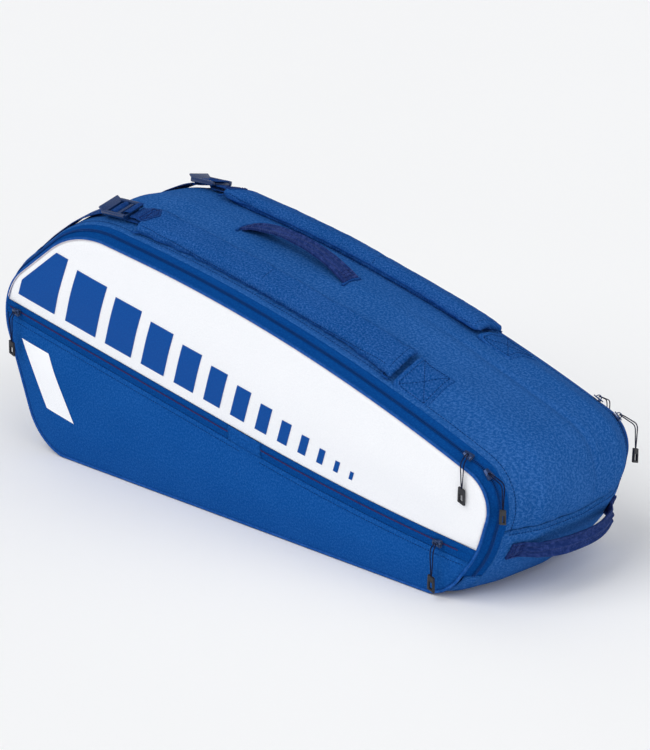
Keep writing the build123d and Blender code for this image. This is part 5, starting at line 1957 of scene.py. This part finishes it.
@dataclass
class EndHandle:
    """The grab loop across the handle end, with its two sewn roots."""

    root_edge: float = 88 * MM
    free: float = 66 * MM
    bow: float = 32 * MM
    plane: float = 374 * MM
    middle: float = 60 * MM
    height: float = 20 * MM
    wall: float = 2.8 * MM
    columns: int = 56
    rows: int = 18

    def face(self, along: float, across: float) -> Vector:
        """A point of the loop's outer face.

        Args:
            along: from -1 at the front root to 1 at the back root.
            across: from -1 at the lower edge to 1 at the upper one.

        Returns:
            The point.
        """
        y = along * self.root_edge
        waist = 1 - 0.16 * hill(abs(along), 0.70, 0.16) - 0.05 * hill(along, 0.0, 0.5)
        z = self.middle + across * self.height / 2 * waist + 0.8 * MM * noise.noise(Vector((along * 2.4, 0.5, 1.0)))
        arc = self.plane + self.bow * (1 - along * along)
        skin = end_skin(y, z)
        ground = skin.x + relief(y, skin) + self.wall + 0.8 * MM
        sewn = smooth(abs(along), 0.70, 0.88)
        folds = 1.0 * math.cos(across * 6.4 + 0.5 * math.sin(along * 4)) + 0.45 * math.cos(across * 14)
        pucker = 1.5 * hill(abs(along), 0.76, 0.07) * math.cos(across * 9 + 1)
        edge = 2.6 * max(0.0, abs(across) - 0.8) / 0.2
        x = arc * (1 - sewn) + ground * sewn
        x = max(x, ground) + (folds * (1 - 0.5 * sewn) + pucker - edge * 0.5) * MM
        return Vector((max(x, ground - 0.4 * MM), y, z))

    def build(self) -> None:
        """Builds the two halves of the loop, each sewn to the bag and free in the middle."""
        for name, way in (("end_handle_front_half", -1), ("end_handle_back_half", 1)):
            first, last = (-1.0, 0.0) if way < 0 else (0.0, 1.0)

            def place(column: int, row: int, first: float = first, last: float = last) -> Vector:
                """A corner of the loop's grid."""
                return self.face(first + (last - first) * column / self.columns, 2 * row / self.rows - 1)

            mesh = sheet(self.columns, self.rows, place, (0.095, self.height))
            mesh = turned_outwards(mesh, lambda p: Vector((1, 0, 0)))
            bmesh.ops.solidify(mesh, geom=mesh.faces[:], thickness=self.wall)
            bmesh.ops.recalc_face_normals(mesh, faces=mesh.faces[:])
            piece = Piece(name, sharpened(mesh), HANDLE_WEB, "end_handle", ("end_handle", "end_handle_ends"), ride=False)
            made = piece.make()
            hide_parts(*piece.replaces)
            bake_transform(made)
        self.dress()

    def dress(self) -> None:
        """Sews two pairs of bars across each root."""
        rows = []
        for along in (-0.985, -0.955, -0.885, -0.855, 0.855, 0.885, 0.955, 0.985):
            line = [self.face(along, -0.9 + 1.8 * step / 14) + Vector((0.15 * MM, 0, 0)) for step in range(15)]
            rows.append((line, [Vector((1, 0, 0))]))
        for across in (-0.72, 0.72):
            for way in (-1, 1):
                line = [self.face(way * (0.855 + 0.13 * step / 8), across) + Vector((0.15 * MM, 0, 0)) for step in range(9)]
                rows.append((line, [Vector((1, 0, 0))]))
        Piece("end_handle_bar_stitching", stitches(rows, 2.2 * MM, 0.45 * MM), NAVY_THREAD, "bag_body").make()


# ------------------------------------------------------------------ inside
@dataclass
class Interior:
    """What shows when a cover is open: the lining and the padded divider."""

    lining_out: float = -5.3 * MM
    lining_edge: float = 99 * MM
    divider_out: float = -6.6
    divider_half: float = 2.9 * MM

    def build(self) -> None:
        """Builds the lining and the divider."""
        depths = spread(-self.lining_edge, self.lining_edge, 9 * MM)
        over = skin_sheet(depths, HEAD_LOW, END_LOW, 120, lambda d, s: self.lining_out, bare=True)
        under = skin_sheet(depths, END_LOW, HEAD_LOW, 90, lambda d, s: self.lining_out, bare=True)
        Piece("body_lining_cloth", joined(over, under), LINING, "bag_body", ("body_lining",), 0.6 * MM).make()
        loop = [point * MM for point in resampled(OUTLINE.loop(0.0, self.divider_out), 240)]
        spine = (Vector((-0.21, 0.15)), Vector((0.25, 0.085)))
        faces = []
        for way in (-1, 1):
            def depth(inset: float, flat: Vector, way: int = way) -> float:
                """Y of the divider's face: thin at its bound edge and full inside it."""
                quilt = 0.35 * MM * hill((flat.x * 0.8 + flat.y) % (90 * MM), 45 * MM, 4 * MM)
                return way * (self.divider_half * (1 - math.exp(-inset / (4 * MM))) - quilt * smooth(inset, 0, 20 * MM))

            faces.append(dish(loop, spine, RINGS, depth))
        mesh = joined(*faces)
        bmesh.ops.remove_doubles(mesh, verts=mesh.verts[:], dist=0.02 * MM)
        bmesh.ops.recalc_face_normals(mesh, faces=mesh.faces[:])
        divider = Piece("center_divider_pad", mesh, LINING, "bag_body", ("center_divider",)).make()
        edge = tube([Vector((p.x, 0.0, p.y)) for p in loop[:-1]], 1.0 * MM, 8, closed=True)
        Piece("center_divider_binding", edge, BINDING, "bag_body").make()


# ------------------------------------------------------------------ studio
@dataclass(frozen=True)
class Lamp:
    """One soft, distant light."""

    name: str
    place: tuple
    softness: float
    power: float
    tint: Colour = (1.0, 1.0, 1.0)


@dataclass
class Studio:
    """The floor, the soft light and the camera."""

    eye: tuple = (1.8272, -1.9668, 1.1145)
    forward: tuple = (-0.6324, 0.6950, -0.3420)
    lens: float = 122.4
    target: tuple = (0.02, 0.0, 0.14)
    lamps: tuple = (
        Lamp("key_light", (-0.6, -2.6, 2.9), 0.9, 1.65),
        Lamp("fill_light", (3.0, -0.6, 1.6), 1.1, 0.95),
        Lamp("back_light", (0.4, 2.4, 2.2), 1.2, 0.4),
    )

    def build(self) -> None:
        """Builds the stage."""
        self.floor()
        world = bpy.data.worlds.new("studio")
        world.use_nodes = True
        sky = world.node_tree.nodes["Background"]
        sky.inputs["Color"].default_value = (0.95, 0.97, 1.0, 1.0)
        sky.inputs["Strength"].default_value = 0.38
        bench = NodeBench(world.node_tree)
        backdrop = bench.add("Background", Color=(0.95, 0.955, 0.96, 1.0), Strength=0.96)
        seen = bench.add("MixShader")
        world.node_tree.links.new(bench.add("LightPath").outputs["Is Camera Ray"], seen.inputs[0])
        world.node_tree.links.new(sky.outputs[0], seen.inputs[1])
        world.node_tree.links.new(backdrop.outputs[0], seen.inputs[2])
        world.node_tree.links.new(seen.outputs[0], world.node_tree.nodes["World Output"].inputs["Surface"])
        bpy.context.scene.world = world
        bpy.context.scene.view_settings.view_transform = "Standard"
        for lamp in self.lamps:
            light = bpy.data.lights.new(lamp.name, "SUN")
            light.angle, light.energy, light.color = lamp.softness, lamp.power, lamp.tint
            item = bpy.data.objects.new(lamp.name, light)
            item.location = lamp.place
            aim = Vector(self.target) - Vector(lamp.place)
            item.rotation_euler = aim.to_track_quat("-Z", "Y").to_euler()
            bpy.context.scene.collection.objects.link(item)
        lens = bpy.data.cameras.new("studio_camera")
        lens.lens, lens.sensor_width = self.lens, 36.0
        camera = bpy.data.objects.new("studio_camera", lens)
        camera.location = self.eye
        camera.rotation_euler = Vector(self.forward).to_track_quat("-Z", "Y").to_euler()
        bpy.context.scene.collection.objects.link(camera)
        bpy.context.scene.camera = camera

    def floor(self) -> None:
        """Builds the pale floor."""
        mesh = bmesh.new()
        bmesh.ops.create_circle(mesh, cap_ends=True, segments=96, radius=30.0)
        bmesh.ops.translate(mesh, vec=(0, 0, -0.5 * MM), verts=mesh.verts[:])
        data = bpy.data.meshes.new("floor")
        mesh.to_mesh(data)
        mesh.free()
        floor = bpy.data.objects.new("floor", data)
        bpy.context.scene.collection.objects.link(floor)
        material = bpy.data.materials.new("pale_floor")
        material.use_nodes = True
        bench = NodeBench(material.node_tree)
        shader = material.node_tree.nodes["Principled BSDF"]
        drift = bench.add("TexNoise", Vector=bench.add("TexCoord").outputs["Object"], Scale=1.5, Detail=2.0)
        tone = bench.blend(drift.outputs[0], (0.955, 0.955, 0.957, 1.0), (0.97, 0.97, 0.972, 1.0))
        material.node_tree.links.new(tone, shader.inputs["Base Color"])
        shader.inputs["Roughness"].default_value = 0.9
        shader.inputs["Specular IOR Level"].default_value = 0.1
        data.materials.append(material)


def main() -> None:
    """Builds every sub-assembly."""
    logging.basicConfig(level=logging.INFO, format="%(name)s: %(message)s")
    Studio().build()
    gusset = Gusset()
    gusset.build()
    gusset.dress()
    panels = {side: SidePanel(side) for side in Side}
    for panel in panels.values():
        panel.build()
    PanelPrints(panels[Side.FRONT], panels[Side.BACK]).build()
    for side in Side:
        MainZip(side).build()
        for which in ("top", "end"):
            main_slider(side, which).build()
    PocketZip(panels[Side.FRONT]).build()
    for which in ("left", "right"):
        pocket_slider(which).build()
    Strap(Side.FRONT, -73 * MM, 21 * MM).build()
    Strap(Side.BACK, 65 * MM, 60 * MM).build()
    CarryHandle().build()
    EndHandle().build()
    Interior().build()


if __name__ == "__main__":
    main()
